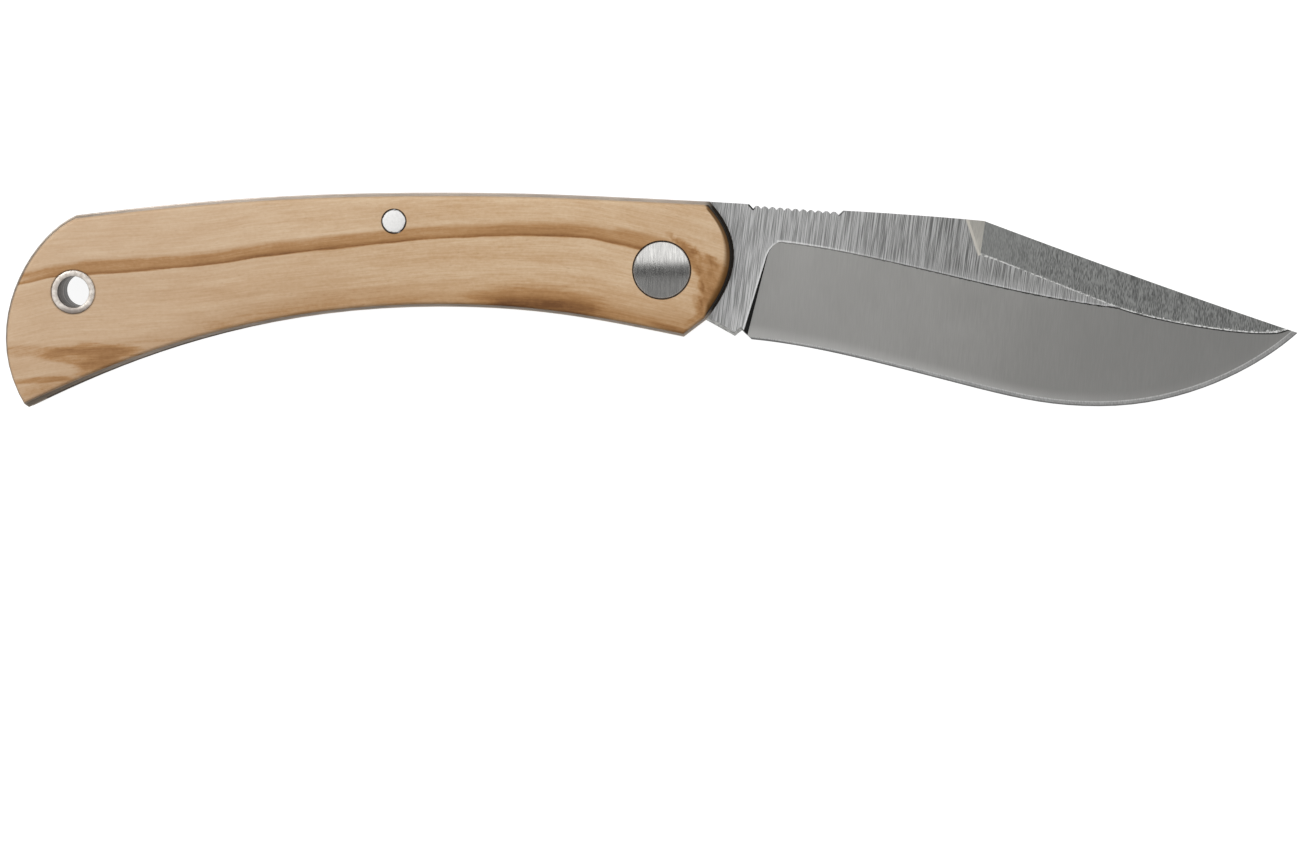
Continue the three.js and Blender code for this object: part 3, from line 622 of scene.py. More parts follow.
def spine_steel(name):
    """Square cut spine, tang and jimping, brushed across the thickness."""
    finish = Finish(name)
    lines = finish.noise((0.08, 0.08, 1.8), detail=3, roughness=0.6)
    tone = finish.weigh((lines, 0.65), (finish.noise((3, 3, 3)), 0.35))
    finish.start(tone, 0.34, 0.66, tint(122, 122, 121), tint(176, 176, 175))
    return finish.close(1, 0.42, lines, 0.004)


def ground_frame_steel(name, edge):
    """Liners and backspring: edges ground lengthwise, with painted shade at the nose, round the pivot,
    towards the butt and along the belly.
    """
    finish = Finish(name)
    base = colours().frame_steel
    x = finish.x
    lines = finish.noise((3.5, 0.12, 0.07), detail=3, roughness=0.6)
    tone = finish.weigh((lines, 0.6), (finish.noise((4, 4, 4), detail=3), 0.4))
    finish.start(tone, 0.34, 0.66, base * 0.8, base * 1.1)
    # Painted shade: near black on the liners at the nose and round the pivot disc.
    mouth = finish.spread(x, 5.4, 6.8, 0, 0.95)
    seat = finish.spread(finish.away(), 4.2, 4.5, 0.9, 0)
    finish.paint(finish.most(mouth, seat), tint(26, 21, 17))
    # Painted shade: the liners darken towards the butt.
    finish.paint(finish.spread(x, -80, -66, 0.8, 0), tint(132, 121, 108))
    # Painted shade: a dark line along the lower edge of the liners at the belly.
    belly_shade = finish.times(
        finish.spread(finish.above(edge), 0.10, 0.24, 0.85, 0), finish.fade(x, -58, -48),
        finish.spread(finish.gap(finish.z, MIDDLE), 1.9, 2),
        finish.spread(x, edge[0][0], edge[0][0] + 0.3),
    )
    finish.paint(belly_shade, tint(58, 50, 43))
    gloss = finish.rescale(lines, 0.3, 0.7, 0.46, 0.34)
    return finish.close(1, gloss, lines, 0.003)


def brushed_disc_steel(name):
    """Pivot discs: fine lines straight up and down over a satin face, with a painted highlight on the
    rim.
    """
    finish = Finish(name)
    fine = finish.noise((0.05, 1.1, 0.4), detail=3, roughness=0.65)
    wide = finish.noise((0.16, 2.6, 0.4), seed=(50, 0, 0))
    height = finish.weigh((fine, 0.65), (wide, 0.35))
    finish.start(height, 0.34, 0.66, tint(180, 179, 177), tint(216, 215, 212))
    radius = node_radius("front_pivot_cap") / MM
    # Painted highlight: a pale ring on the chamfered rim.
    rim = finish.spread(finish.away(), radius - 0.18, radius - 0.08, 0, 0.7)
    finish.paint(rim, tint(232, 220, 210))
    metal = finish.rescale(rim, 0, 1, 1, 0.3)
    gloss = finish.rescale(wide, 0.3, 0.7, 0.16, 0.11)
    return finish.close(metal, gloss, height, 0.003)


def peened_pin_steel(name):
    """Centre pin: peened and smoothed to a pale satin, with painted shade in a ragged ring at its rim.
    """
    finish = Finish(name)
    base = colours().pin_steel
    dents = finish.noise((0.32, 0.32, 0.32), detail=3, roughness=0.65)
    finish.start(dents, 0.34, 0.62, base * 0.93, base)
    # Painted shade: a ragged dark ring at the rim, where the pin meets its bore.
    chips = finish.noise((0.7, 0.7, 3), seed=(3, 4, 0))
    away = finish.away(node_axis("centre_pin").xy / MM)
    away = finish.plus(away, finish.rescale(chips, 0.3, 0.7, -0.08, 0.08))
    radius = node_radius("centre_pin") / MM
    finish.paint(finish.spread(away, radius - 0.1, radius, 0, 0.9), tint(66, 46, 34))
    return finish.close(0.05, 0.5, dents, 0.008)


def turned_tube_steel(name):
    """Lanyard tube: pale mouth with painted shade on its lower side, turning marks down the bore under
    painted shade that turns near black further in.
    """
    finish = Finish(name)
    y, z = finish.y, finish.z
    marks = finish.noise((8, 8, 0.30), detail=3, roughness=0.6)
    # The bore: turning marks, with painted shade darker than the mouth, near black further in.
    bore = finish.blend(finish.spread(marks, 0.43, 0.57), tint(46, 39, 34), tint(146, 133, 123))
    far = finish.times(finish.spread(z, 0.2, 0.3), finish.fade(z, 1.1, 1.4))
    bore = finish.blend(far, bore, tint(10, 9, 8))
    rubs = finish.noise((0.5, 0.5, 0.5), detail=3)
    mouth = finish.blend(finish.spread(rubs, 0.36, 0.64), tint(216, 206, 196), tint(246, 238, 229))
    # Painted shade: the mouth darkens on its lower side.
    above = finish.minus(y, node_axis("lanyard_tube").y / MM)
    mouth = finish.blend(finish.spread(above, -2.6, -1.5, 0.75, 0), mouth, tint(128, 116, 108))
    inside = finish.fade(finish.gap(z, MIDDLE), 4.66, 4.86)
    metal = finish.rescale(inside, 0, 1, 0.3, 0.8)
    finish.shade = finish.blend(inside, mouth, bore)
    return finish.close(metal, 0.5, marks, 0.012)


def washer_bronze(name):
    """Washers: lapped bronze with a little tarnish."""
    finish = Finish(name)
    base = colours().bronze
    marks = finish.noise((0.3, 0.3, 0.06), detail=3, roughness=0.6)
    tone = finish.weigh((marks, 0.4), (finish.noise((2, 2, 2), detail=3), 0.6))
    finish.start(tone, 0.36, 0.62, base * 0.6, base)
    return finish.close(1, 0.38, marks, 0.003)


# Wood

# Lower edge of the long dark vein and its height, along the handle
VEIN_FOOT = (
    (-86, -2.6), (-82.1, -1.7), (-78.2, -0.9), (-73, -0.6), (-67.8, -0.2), (-62.6, 0.2),
    (-57.4, 0.8), (-52.2, 1.65), (-47, 2.2), (-41.8, 2.75), (-36.6, 3.3), (-31.4, 3.85),
    (-26.2, 4.2), (-21, 4.38), (-15.8, 4.38), (-10.6, 4.1), (-6.7, 3.45), (-3.5, 2.75),
    (3, 1.2), (10, -1),
)
VEIN_HEIGHT = (
    (-86, 2), (-78.2, 1.6), (-73, 2.1), (-62.6, 1.9), (-52.2, 1.85), (-36.6, 1.95),
    (-26.2, 1.7), (-15.8, 1.8), (-6.7, 2), (-3.5, 2.4), (3, 2.2), (10, 2.2),
)
REAR_VEIN_FOOT = ((-86, 1.4), (-60, 3.2), (-40, 4.9), (-18, 3), (10, 1))

# Lower edge of the scales along the handle
BELLY_EDGE = (
    (-86, -19.5), (-78.2, -16), (-73, -13.8), (-67.8, -11.6), (-62.6, -9.6), (-57.4, -8.1),
    (-52.2, -6.6), (-47, -5.9), (-41.8, -5.3), (-36.6, -4.9), (-31.4, -4.7), (-26.2, -4.7),
    (-21, -4.9), (-15.8, -5.4), (-10.6, -5.9), (-3.5, -7.2), (10, -9.8),
)

# Patches of the figure: centre, reach along and across, turn in degrees, depth
FRONT_PATCHES = (
    ((-74.9, -11.2), (6.3, 1.9), 4, 0.30),
    ((-72.4, -10.6), (4.8, 1.1), 2, 0.14),
    ((-82, -10.6), (6, 0.9), 0, 0.22),
    ((-81, -14.3), (4.4, 0.45), 4, 0.26),
    ((-80, -15.6), (4.2, 1), 12, 0.08),
    ((-79.6, -12.7), (4.2, 0.9), -2, -0.26),
    ((-73.6, -12.5), (3.4, 1.2), 12, 0.16),
    ((-15.6, -4.4), (9.6, 2.7), -3, 0.30),
    ((-17.6, -4.2), (5.6, 1.1), 2, 0.14),
    ((-11.6, -4.9), (4.2, 1), -6, 0.12),
)
NOSE_PATCHES = (
    ((3.5, 2.6), (1.6, 0.7), -28, 0.14),
    ((6.4, 1.1), (1.2, 0.7), -30, 0.10),
    ((4.7, 0.1), (0.9, 0.6), -20, 0.12),
    ((5.1, -2.1), (0.5, 1), 14, 0.26),
    ((4.7, -4.3), (0.7, 1.6), 16, 0.20),
    ((5, 1.7), (0.7, 0.6), 0, -0.14),
    ((1.6, -7.7), (3.6, 0.4), -14, 0.20),
    ((4.4, -6.2), (1.6, 0.35), 34, 0.16),
    ((4.35, -1.2), (0.55, 0.9), 8, -0.16),
)
REAR_PATCHES = (
    ((-70, -8.4), (10, 1.4), 4, 0.34),
    ((-48, -1.4), (12, 1.2), 8, 0.26),
    ((-8, -3.6), (9, 1.3), -6, 0.36),
)

# Painted shade in rings round the bores: node in the bore, gap between the two, depth of the shade
BORE_SHADE_RINGS = (("front_pivot_cap", 0.09, 0.9), ("centre_pin", 0.11, 0.9), ("lanyard_tube", 0.11, 0.3))
BORE_SHADE_WIDTH = 0.1


def patched(finish, figure, patches, rag):
    """A figure with soft edged patches added."""
    for centre, reach, turn, depth in patches:
        away = finish.plus(finish.away(centre, reach, turn), rag)
        figure = finish.plus(figure, finish.spread(away, 0.55, 1.2, depth, 0))
    return figure


def front_figure(finish, rag):
    """Dark figure of the front scale: the long vein, the butt blotches and the belly patch."""
    x = finish.x
    above = finish.plus(finish.above(VEIN_FOOT), finish.times(rag, 0.5))
    share = finish.maths("DIVIDE", above, finish.along(x, VEIN_HEIGHT, 0.5))
    vein = finish.times(
        finish.spread(share, -0.05, 0.10), finish.fade(share, 0.70, 1.15),
        finish.spread(share, 0, 0.40, 0.76, 0.42),
        finish.spread(x, 0, 3.6, 1, 0.1), finish.spread(x, -84, -76, 0.75, 1),
    )
    return patched(finish, vein, FRONT_PATCHES, rag)


def nose_figure(finish, rag):
    """Soft amber swirl between the pivot disc and the nose of the front scale."""
    x, y = finish.x, finish.y
    cloud = finish.noise((1.5, 1.1, 2), 30, seed=(4, 6, 0), detail=3, roughness=0.6)
    ragged = finish.plus(finish.times(rag, 1.2), finish.rescale(cloud, 0.3, 0.7, -0.4, 0.4))
    slope = finish.plus(y, finish.times(x, 0.564), ragged)
    reach = finish.plus(x, finish.times(finish.most(y, -1.3), 0.678), ragged)
    curl = finish.noise((1, 2, 2), 24, seed=(8, 3, 0), detail=3, roughness=0.55)
    swirl = finish.times(
        finish.fade(slope, 4.8, 5.7), finish.spread(reach, 3.5, 4.6),
        finish.spread(y, -7.4, -5), finish.spread(curl, 0.36, 0.66, 0.28, 0.50),
    )
    return patched(finish, swirl, NOSE_PATCHES, rag)


def rear_figure(finish, rag):
    """Figure of the rear scale, its own piece of the same board."""
    above = finish.plus(finish.above(REAR_VEIN_FOOT), finish.times(rag, 0.8))
    vein = finish.times(finish.spread(above, -0.1, 0.15), finish.spread(above, 0.9, 1.9, 0.5, 0))
    return patched(finish, vein, REAR_PATCHES, rag)


def burnt_bores(finish):
    """Painted shade: thin dark rings in the wood round the disc, the pin and the tube, where the gaps
    lie.
    """
    total = 0.0
    for node, gap, depth in BORE_SHADE_RINGS:
        rim = node_radius(node) / MM + gap
        away = finish.away(node_axis(node).xy / MM)
        total = finish.most(total, finish.spread(away, rim, rim + BORE_SHADE_WIDTH, depth, 0))
    return total


def nose_seam(finish, nose, fall):
    """Painted shade towards the wood's front edge: brown on the face, black on the rounding."""
    x, y = finish.x, finish.y
    left = finish.minus(finish.along(y, nose), x)
    left = finish.maths("DIVIDE", left, finish.spread(y, -1, 7, 0.8, 0.2))
    ahead = finish.times(finish.spread(y, -7.3, -6.3), finish.spread(x, 5.4, 6.1))
    brown = finish.times(finish.spread(left, -0.1, 1, 0.92, 0), ahead)
    finish.paint(brown, tint(96, 62, 18))
    black = finish.times(finish.spread(fall, 0.02, 0.20), ahead)
    finish.paint(black, tint(14, 10, 6))


def olive_wood(name, face, nose):
    """Oiled olive wood: pale fibres that follow the vein, dark figure and pores, with painted shade on
    the rounded edges, at the nose and in rings round the bores.
    """
    finish = Finish(name)
    shades = colours()
    x, y, z = finish.x, finish.y, finish.z
    flow = finish.add("ShaderNodeCombineXYZ")
    for socket, value in zip(flow.inputs, (x, finish.above(VEIN_FOOT), z)):
        finish.feed(socket, value)
    fibre = flow.outputs[0]

    rag = finish.noise((5.5, 0.75, 1.5), seed=(3, 1, 0), detail=4, roughness=0.6, on=fibre)
    rag = finish.minus(rag, 0.5)
    if face > MIDDLE:
        figure = finish.most(front_figure(finish, rag), nose_figure(finish, rag))
    else:
        figure = rear_figure(finish, rag)
    belly = finish.spread(finish.above(BELLY_EDGE), 0, 4.2, 0.27, 0)
    figure = finish.plus(figure, finish.times(belly, finish.spread(x, -66, -44, 0.45, 1)))

    hairs = finish.noise((3.4, 0.17, 0.4), seed=(5, 4, 0), detail=3, roughness=0.65, on=fibre)
    layers = (
        (finish.noise((22, 1.6, 4), seed=(11, 5, 0), on=fibre), 0.34),
        (finish.noise((11, 0.42, 2), seed=(2, 9, 0), detail=3, roughness=0.6, on=fibre), 0.24),
        (hairs, 0.34),
        (finish.noise((0.55, 0.4, 0.5), seed=(6, 2, 0), detail=3, roughness=0.7), 0.26),
        (finish.noise((4.5, 1.6, 3), seed=(9, 8, 0), detail=3, roughness=0.55, on=fibre), 0.26),
    )
    tone = finish.rescale(y, -14, 9, 0.25, 0.13)
    for layer, weight in layers:
        tone = finish.plus(tone, finish.times(finish.minus(layer, 0.5), weight))
    tone = finish.maths("ADD", tone, figure, clamp=True)
    finish.shade = finish.ramp(
        tone,
        (
            (0, shades.wood_pale), (0.27, shades.wood_tan), (0.52, shades.wood_amber),
            (0.78, shades.wood_brown), (1, shades.wood_deep),
        ),
    )
    pores = finish.spread(finish.noise((0.9, 0.16, 0.4), seed=(1, 7, 0), on=fibre), 0.66, 0.78)
    finish.paint(finish.times(pores, 0.35), shades.wood_brown)
    fall = finish.gap(z, face)
    # Painted shade: the rounded edges are darkened, most round the butt.
    worn = finish.times(finish.spread(fall, 0.02, 0.30), finish.spread(x, -82, -78, 0.75, 0.20))
    finish.paint(worn, tint(60, 40, 20))
    faded = finish.times(finish.spread(x, -78, -18, 0.36, 0), finish.spread(tone, 0.3, 0.6, 1, 0.1))
    finish.paint(faded, tint(208, 184, 160))
    nose_seam(finish, nose, fall)
    # Painted shade in rings round the bores.
    finish.paint(burnt_bores(finish), tint(40, 24, 14))
    gloss = finish.plus(finish.rescale(hairs, 0.2, 0.8, 0.5, 0.62), finish.times(pores, 0.1))
    relief = finish.minus(hairs, finish.times(pores, 0.5))
    return finish.close(0, gloss, relief, 0.008, Specular_IOR_Level=0.2)


# Pieces

# Points of a line that a finish follows
LINE_POINTS = 16

# Front edge of a scale's face: ahead of the disc's bore and below the upper corner
NOSE_START, BORE_CLEAR, NOSE_CORNER = 2.0, 4.5, 8.82

# Belly of a liner: from the butt's corner to the middle, below a line that clears the back
BELLY_START, BELLY_END, TUBE_CLEAR = -82.5, -44.0, 4.0
BACK_FOOT, BACK_SLOPE = -30.8, 0.29

# Angles in degrees past which an edge stays crisp
WOOD_CRISP, STEEL_CRISP, GROUND_CRISP = 35, 32, 6


def evenly(places, name):
    """Points at even steps along the first number, read off a row of places."""
    places = sorted(places)
    if len(places) < 2:
        raise RuntimeError(f"the frame shows no {name}")
    start, stop = places[0][0], places[-1][0]
    points = []
    for step in range(LINE_POINTS):
        at = start + (stop - start) * step / (LINE_POINTS - 1)
        after = next(i for i, place in enumerate(places) if place[0] >= at - 1e-6)
        before = max(0, after - 1)
        run = places[after][0] - places[before][0]
        share = (at - places[before][0]) / run if run > 1e-6 else 0.0
        points.append((at, places[before][1] + (places[after][1] - places[before][1]) * share))
    return points


def at_level(piece, level):
    """Points of a piece at a level, in millimetres."""
    return [point.co / MM for point in piece.data.vertices if abs(point.co.z - level) < SAME_LEVEL]


def nose_line(piece, level):
    """Front edge of a scale's flat face, as y and x in millimetres."""
    found = [
        (place.y, place.x) for place in at_level(piece, level)
        if place.x > NOSE_START and place.xy.length > BORE_CLEAR and place.y < NOSE_CORNER
    ]
    return evenly(found, "front edge on a scale's face")


def belly_line(piece, level):
    """Lower edge of a liner's outer face behind the middle, as x and y in millimetres."""
    tube = node_axis("lanyard_tube").xy / MM
    found = [
        (place.x, place.y) for place in at_level(piece, level)
        if BELLY_START < place.x < BELLY_END and (place.xy - tube).length > TUBE_CLEAR
        and place.y < (place.x - BACK_FOOT) * BACK_SLOPE
    ]
    return evenly(found, "lower edge on a liner's face")


class KNIFE_OT_scales(bpy.types.Operator):
    """Dress the two olive wood scales"""

    bl_idname = "knife.scales"
    bl_label = "Olive wood scales"

    def execute(self, context):
        for side in ("front", "rear"):
            node = f"{side}_scale"
            piece = copy_of_node(node, f"{side}_wood_scale")
            smooth(piece, WOOD_CRISP)
            level = node_box(node)[side == "front"].z
            finish = known(olive_wood, level / MM, nose_line(piece, level), name=f"olive_wood_{side}")
            dress(piece, "handle", "olive_wood", node, finish)
        return {"FINISHED"}


class KNIFE_OT_liners(bpy.types.Operator):
    """Dress the two steel liners"""

    bl_idname = "knife.liners"
    bl_label = "Liners"

    def execute(self, context):
        for side in ("front", "rear"):
            node = f"{side}_liner"
            piece = copy_of_node(node, f"{side}_steel_liner")
            level = node_box(node)[side == "front"].z
            edge = belly_line(piece, level)
            choose_edges(piece, outline_edges(piece, level))
            bpy.ops.mesh.bevel(
                offset=sizes().liner_round, offset_type="OFFSET", segments=4, affect="EDGES"
            )
            bpy.ops.object.mode_set(mode="OBJECT")
            smooth(piece, STEEL_CRISP)
            dress(piece, "handle", "frame_steel", node, known(ground_frame_steel, edge))
        return {"FINISHED"}


class KNIFE_OT_backspring(bpy.types.Operator):
    """Dress the backspring"""

    bl_idname = "knife.backspring"
    bl_label = "Backspring"

    def execute(self, context):
        piece = copy_of_node("backspring", "steel_backspring")
        only(piece)
        bevel = piece.modifiers.new("edge break", "BEVEL")
        bevel.width = sizes().edge_break
        bevel.segments = 2
        bevel.limit_method = "ANGLE"
        bevel.angle_limit = math.radians(50)
        bevel.harden_normals = False
        bpy.ops.object.modifier_apply(modifier=bevel.name)
        smooth(piece, STEEL_CRISP)
        edge = belly_line(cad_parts["front_liner"], node_box("front_liner")[1].z)
        dress(piece, "handle", "frame_steel", "backspring", known(ground_frame_steel, edge))
        return {"FINISHED"}


FLAT, BEVEL, SWEDGE, LAPPED, WHETTED, DARK, SPINE, KICK = range(8)

# Steepest tilt of each ground surface, in degrees
FLAT_TILT, BEVEL_TILT, SWEDGE_TILT, BAND_TILT, WALL_TILT = 1, 7, 12, 30, 70

# Borders that the finishes follow: pairs of surfaces, and where along x the line starts
BORDERS = {
    "grind": ([(FLAT, BEVEL)], 15.5),
    "ridge": ([(BEVEL, SWEDGE)], 50.0),
    "swedge": ([(FLAT, SWEDGE), (BEVEL, SWEDGE)], 41.0),
    "band": ([(BEVEL, WHETTED)], 0.0),
    "edge": ([(WHETTED, SPINE)], 11.0),
}
PLUNGE_PAIRS = [(FLAT, DARK), (FLAT, BEVEL)]
PLUNGE_START, PLUNGE_END = 8.0, 15.4


def blade_region(face):
    """Which ground surface of the blade a face belongs to, told by its tilt and direction."""
    normal = face.normal
    tilt = math.degrees(math.acos(min(1.0, abs(normal.z))))
    if tilt < FLAT_TILT:
        return FLAT
    if tilt < BEVEL_TILT and normal.y < 0:
        return BEVEL
    if tilt < SWEDGE_TILT and normal.y >= 0:
        return SWEDGE
    if tilt < BAND_TILT:
        return WHETTED if normal.y < 0 else LAPPED
    if tilt < WALL_TILT:
        return DARK if normal.x > 0.6 else KICK
    return SPINE


def border(piece, first, second):
    """Keys of the edges between two ground surfaces."""
    regions = {}
    for face in piece.data.polygons:
        for key in face.edge_keys:
            regions.setdefault(key, set()).add(face.material_index)
    return {key for key, found in regions.items() if found == {first, second}}


def ground_line(piece, pairs, low, high, upright=False):
    """Points along a border of ground surfaces between two places along x, in millimetres."""
    keys = set().union(*(border(piece, first, second) for first, second in pairs))
    found = [piece.data.vertices[index].co / MM for index in {index for key in keys for index in key}]
    found = [place for place in found if low <= place.x <= high]
    found = [(place.y, place.x) if upright else (place.x, place.y) for place in found]
    return evenly(found, "border between two ground surfaces of the blade")


class KNIFE_OT_blade(bpy.types.Operator):
    """Dress the blade, ground surface by ground surface"""

    bl_idname = "knife.blade"
    bl_label = "Blade"

    def execute(self, context):
        piece = copy_of_node("blade", "ground_blade")
        for face in piece.data.polygons:
            face.material_index = blade_region(face)
        tip = node_box("blade")[1].x / MM
        lines = {name: ground_line(piece, pairs, at, tip) for name, (pairs, at) in BORDERS.items()}
        lines["plunge"] = ground_line(piece, PLUNGE_PAIRS, PLUNGE_START, PLUNGE_END, upright=True)
        # In the order of the numbers that blade_region gives
        finishes = (
            known(cross_brushed_steel, lines), known(belt_ground_steel, lines),
            known(swedge_steel, lines), known(lapped_steel), known(whetted_steel, lines),
            known(unpolished_steel), known(spine_steel), known(kick_steel),
        )
        smooth(piece, GROUND_CRISP)
        dress(piece, "blade", "blade_steel", "blade", *finishes)
        return {"FINISHED"}


# Turned pieces, in metres
CORE = 0.04 * MM
DISC_ROOF = 1.1 * MM
DISC_STEPS = 14
RUNNING_GAP = 0.05 * MM
PIN_CHAMFER = 0.15 * MM
PIN_CORE = 0.05 * MM
PIN_DIMPLE = 0.3 * MM
PIN_STEPS = 8
WASHER_LAP = 0.03 * MM
TUBE_BORE = 2.05 * MM
TUBE_WALL = 0.35 * MM
TUBE_MOUTH = 0.7 * MM
TUBE_STEPS = 14


def chamfered(radius, low, high, chamfer):
    """Outer side of a turned piece, with both its rims chamfered."""
    return [
        (radius - chamfer, low), (radius, low + chamfer),
        (radius, high - chamfer), (radius - chamfer, high),
    ]


def disc_profile(seat, face):
    """Half section of a pivot disc: blind bore, chamfered rim, crowned face."""
    out = 1 if face > seat else -1
    crown, chamfer = sizes().disc_crown, sizes().disc_rim
    radius = node_radius("front_pivot_cap")
    bore = node_radius("pivot_pin") + RUNNING_GAP
    roof = face - out * DISC_ROOF
    rim = radius - chamfer
    profile = [(CORE, roof), (bore, roof), (bore, seat), (radius, seat)]
    profile.append((radius, face - out * (crown + chamfer)))
    for step in range(DISC_STEPS + 1):
        reach = rim + (CORE - rim) * step / DISC_STEPS
        profile.append((reach, face - out * crown * (reach / rim) ** 2))
    return profile


class KNIFE_OT_pivot(bpy.types.Operator):
    """Turn the pivot pin and its two discs"""

    bl_idname = "knife.pivot"
    bl_label = "Pivot pin and discs"

    def execute(self, context):
        for side in ("front", "rear"):
            node = f"{side}_pivot_cap"
            low, high = node_box(node)
            seat, face = (low.z, high.z) if side == "front" else (high.z, low.z)
            profile = disc_profile(seat, face)
            turned_piece(f"{side}_pivot_disc", node, profile, "disc_steel", known(brushed_disc_steel))
        low, high = node_box("pivot_pin")
        profile = [(PIN_CORE, low.z + PIN_DIMPLE), (PIN_DIMPLE, low.z)]
        profile += chamfered(node_radius("pivot_pin"), low.z, high.z, PIN_CHAMFER)
        profile += [(PIN_DIMPLE, high.z), (PIN_CORE, high.z - PIN_DIMPLE)]
        turned_piece("turned_pivot_pin", "pivot_pin", profile, "pin_steel", known(spine_steel))
        return {"FINISHED"}


class KNIFE_OT_washers(bpy.types.Operator):
    """Turn the two bronze washers"""

    bl_idname = "knife.washers"
    bl_label = "Washers"

    def execute(self, context):
        bore, lap = node_radius("pivot_pin") + RUNNING_GAP, WASHER_LAP
        for side in ("front", "rear"):
            node = f"{side}_washer"
            low, high = node_box(node)
            profile = [(bore, low.z + lap), (bore + lap, low.z)]
            profile += chamfered(node_radius(node), low.z, high.z, lap)
            profile += [(bore + lap, high.z), (bore, high.z - lap), (bore, low.z + lap)]
            finish = known(washer_bronze)
            turned_piece(f"{side}_bronze_washer", node, profile, "bronze", finish, closed=True)
        return {"FINISHED"}


class KNIFE_OT_centre_pin(bpy.types.Operator):
    """Turn the centre pin with its peened ends"""

    bl_idname = "knife.centre_pin"
    bl_label = "Centre pin"

    def execute(self, context):
        low, high = node_box("centre_pin")
        radius = node_radius("centre_pin")
        ends = []
        for step in range(PIN_STEPS + 1):
            reach = CORE + (radius - CORE) * step / PIN_STEPS
            ends.append((reach, sizes().pin_crown * (reach / radius) ** 3))
        profile = [(reach, low.z + fall) for reach, fall in ends]
        profile += [(reach, high.z - fall) for reach, fall in reversed(ends)]
        finish = known(peened_pin_steel)
        turned_piece("peened_centre_pin", "centre_pin", profile, "pin_steel", finish, crisp=40)
        return {"FINISHED"}


class KNIFE_OT_lanyard_tube(bpy.types.Operator):
    """Turn the flared lanyard tube"""

    bl_idname = "knife.lanyard_tube"
    bl_label = "Lanyard tube"

    def execute(self, context):
        low, high = node_box("lanyard_tube")
        flare = sizes().tube_flare
        half_wall = (node_radius("lanyard_tube") - TUBE_BORE) / 2
        mouth = [(TUBE_BORE + TUBE_WALL, high.z - TUBE_MOUTH)]
        for step in range(TUBE_STEPS + 1):
            turn = math.pi * step / TUBE_STEPS
            reach = TUBE_BORE + half_wall * (1 + math.cos(turn))
            mouth.append((reach, high.z - flare + flare * math.sin(turn)))
        other = [(reach, low.z + high.z - level) for reach, level in reversed(mouth)]
        profile = other + mouth + other[:1]
        turned_piece(
            "turned_lanyard_tube", "lanyard_tube", profile, "tube_steel", known(turned_tube_steel),
            closed=True, crisp=35,
        )
        return {"FINISHED"}


# Stage, in metres
FLOOR_SIZE = 7
FLOOR_LEVEL = -0.00005
WALL_RADIUS = 3.2
WALL_HEIGHT = 1.0
WALL_SIDES = 96
WORLD_GLOW = 0.5

# Shade of the cloth, and the glow that the camera and the steel see
FLOOR_CLOTH = (0.3, 0.92)
WALL_CLOTH = (0.5, 0.75)

# Lamps: name, place, target, width, height, power
LAMPS = (
    ("key", (-0.42, 0.52, 0.55), (0, 0, 0), 0.5, 0.4, 4.2),
    ("strip", (-0.26, 0.0845, 0.85), (-0.26, 0, 0), 0.92, 0.131, 0.33),
)

# Cards: name, place, size, glow
CARDS = (
    ("dark_card", (0.1, -0.0137, 0.60), (1.0, 0.0526), 0.06),
    ("grey_card", (0.0, -0.111, 0.60), (0.22, 0.142), 0.33),
)

# The photograph's camera
CAMERA_PLACE = (-1.261 * MM, 13.22 * MM, 571.9 * MM)
CAMERA_TILT = -3.52
CAMERA_LENS = 119.3
CAMERA_SENSOR = 36


def stage_finish(name, shade, glow):
    """A pale stage surface that looks white in the camera and in reflections and keeps shadows."""
    finish = Finish(name)
    path = finish.add("ShaderNodeLightPath").outputs
    seen = finish.most(path["Is Camera Ray"], path["Is Glossy Ray"])
    seen = finish.most(seen, path["Is Transmission Ray"])
    cloth = finish.add("ShaderNodeBsdfDiffuse")
    cloth.inputs["Color"].default_value = (shade, shade, shade, 1)
    light = finish.add("ShaderNodeEmission")
    finish.feed(light.inputs["Strength"], finish.times(seen, glow))
    both = finish.add("ShaderNodeAddShader")
    finish.tree.links.new(cloth.outputs[0], both.inputs[0])
    finish.tree.links.new(light.outputs[0], both.inputs[1])
    return finish.show(both)


def lamp(name, place, target, width, height, power):
    """A soft rectangular lamp aimed at a point."""
    data = bpy.data.lights.new(name, "AREA")
    data.shape = "RECTANGLE"
    data.size = width
    data.size_y = height
    data.energy = power
    lamp_object = bpy.data.objects.new(name, data)
    lamp_object.location = place
    aim = Vector(target) - Vector(place)
    lamp_object.rotation_euler = aim.to_track_quat("-Z", "Y").to_euler()
    bpy.context.scene.collection.objects.link(lamp_object)


def card(name, place, size, glow):
    """A studio card seen only in the reflections of the steel."""
    only(None)
    bpy.ops.mesh.primitive_plane_add(size=1, location=place)
    sheet = bpy.context.object
    sheet.name = name
    sheet.scale = (*size, 1)
    finish = Finish(name)
    light = finish.add("ShaderNodeEmission")
    light.inputs["Strength"].default_value = glow
    sheet.data.materials.append(finish.show(light))
    sheet.visible_camera = False
    sheet.visible_diffuse = False
    sheet.visible_shadow = False


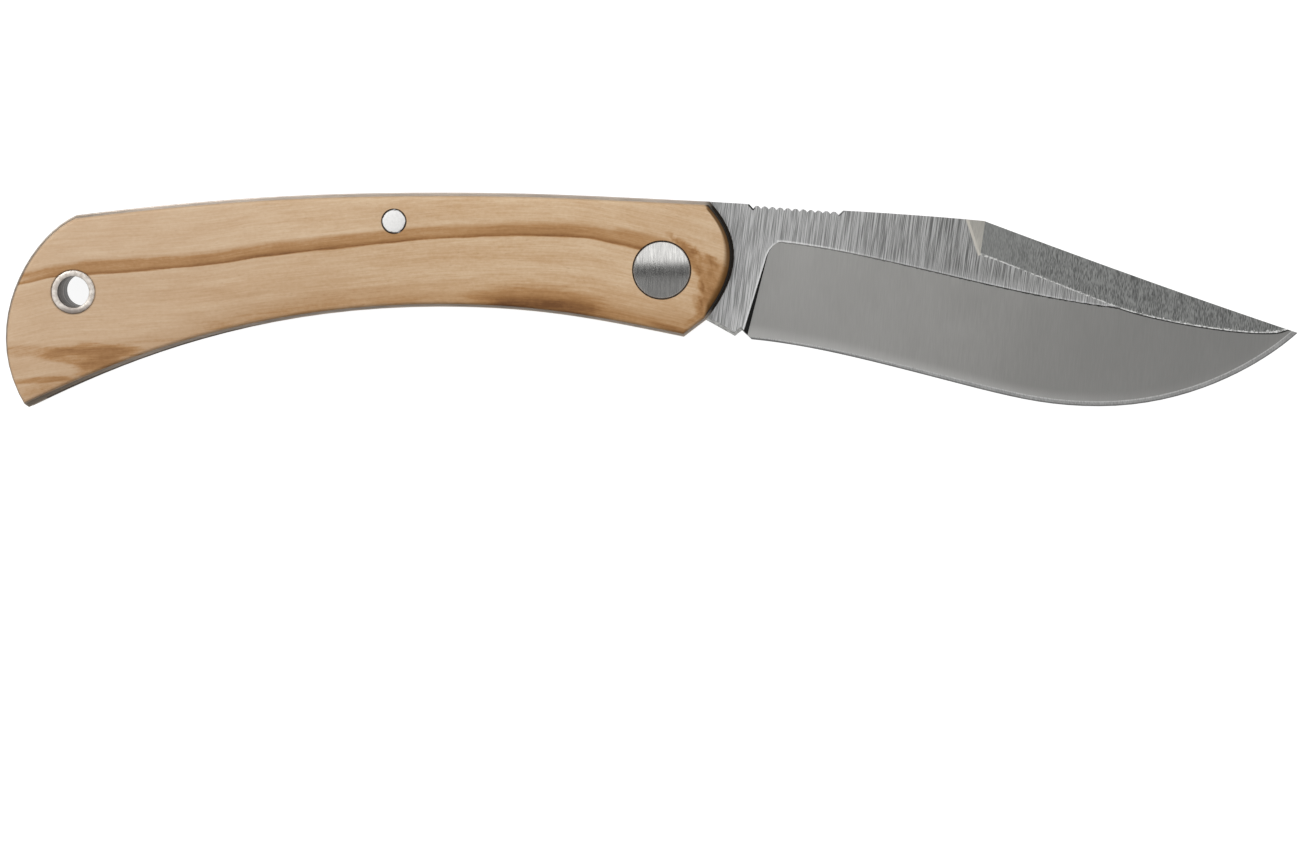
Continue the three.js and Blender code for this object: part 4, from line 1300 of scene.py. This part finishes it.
class KNIFE_OT_stage(bpy.types.Operator):
    """Set the pale floor, the soft lamps and the camera"""

    bl_idname = "knife.stage"
    bl_label = "Stage, lamps and camera"

    def execute(self, context):
        only(None)
        bpy.ops.mesh.primitive_plane_add(size=FLOOR_SIZE, location=(0, 0, FLOOR_LEVEL))
        floor = context.object
        floor.name = "studio_floor"
        floor.data.materials.append(stage_finish("studio_floor", *FLOOR_CLOTH))
        only(None)
        bpy.ops.mesh.primitive_cylinder_add(
            vertices=WALL_SIDES, radius=WALL_RADIUS, depth=WALL_HEIGHT, end_fill_type="NOTHING",
            location=(0, 0, WALL_HEIGHT / 2),
        )
        wall = context.object
        wall.name = "studio_wall"
        wall.data.materials.append(stage_finish("studio_wall", *WALL_CLOTH))

        world = bpy.data.worlds.new("studio")
        context.scene.world = world
        world.use_nodes = True
        back = world.node_tree.nodes["Background"]
        back.inputs["Color"].default_value = (1, 1, 1, 1)
        back.inputs["Strength"].default_value = WORLD_GLOW
        for given in LAMPS:
            lamp(*given)
        for given in CARDS:
            card(*given)

        data = bpy.data.cameras.new("photo_camera")
        data.sensor_width = CAMERA_SENSOR
        data.lens = CAMERA_LENS
        data.clip_start = 0.01
        camera = bpy.data.objects.new("photo_camera", data)
        camera.location = CAMERA_PLACE
        camera.rotation_euler = (math.radians(CAMERA_TILT), 0, 0)
        context.scene.collection.objects.link(camera)
        context.scene.camera = camera
        context.scene.view_settings.view_transform = "Standard"
        return {"FINISHED"}


PIECES = (
    KNIFE_OT_scales,
    KNIFE_OT_liners,
    KNIFE_OT_backspring,
    KNIFE_OT_blade,
    KNIFE_OT_pivot,
    KNIFE_OT_washers,
    KNIFE_OT_centre_pin,
    KNIFE_OT_lanyard_tube,
    KNIFE_OT_stage,
)


class KNIFE_PT_workshop(bpy.types.Panel):
    """Sidebar panel with every step and every size"""

    bl_label = "Knife workshop"
    bl_idname = "KNIFE_PT_workshop"
    bl_space_type = "VIEW_3D"
    bl_region_type = "UI"
    bl_category = "Knife"

    def draw(self, context):
        for operator in PIECES:
            self.layout.operator(operator.bl_idname)
        for group in (context.scene.knife_sizes, context.scene.knife_colours):
            box = self.layout.box()
            for key in group.__annotations__:
                box.prop(group, key)


CLASSES = (KnifeSizes, KnifeColours, *PIECES, KNIFE_PT_workshop)


def register():
    """Makes the classes known and hangs the settings on the scene."""
    for cls in CLASSES:
        bpy.utils.register_class(cls)
    bpy.types.Scene.knife_sizes = PointerProperty(type=KnifeSizes)
    bpy.types.Scene.knife_colours = PointerProperty(type=KnifeColours)


def unregister():
    """Takes everything away again."""
    del bpy.types.Scene.knife_colours
    del bpy.types.Scene.knife_sizes
    for cls in reversed(CLASSES):
        bpy.utils.unregister_class(cls)


def main():
    """Makes every piece and the stage."""
    register()
    for operator in PIECES:
        group, name = operator.bl_idname.split(".")
        getattr(getattr(bpy.ops, group), name)()
    only(None)


if __name__ == "__main__":
    main()
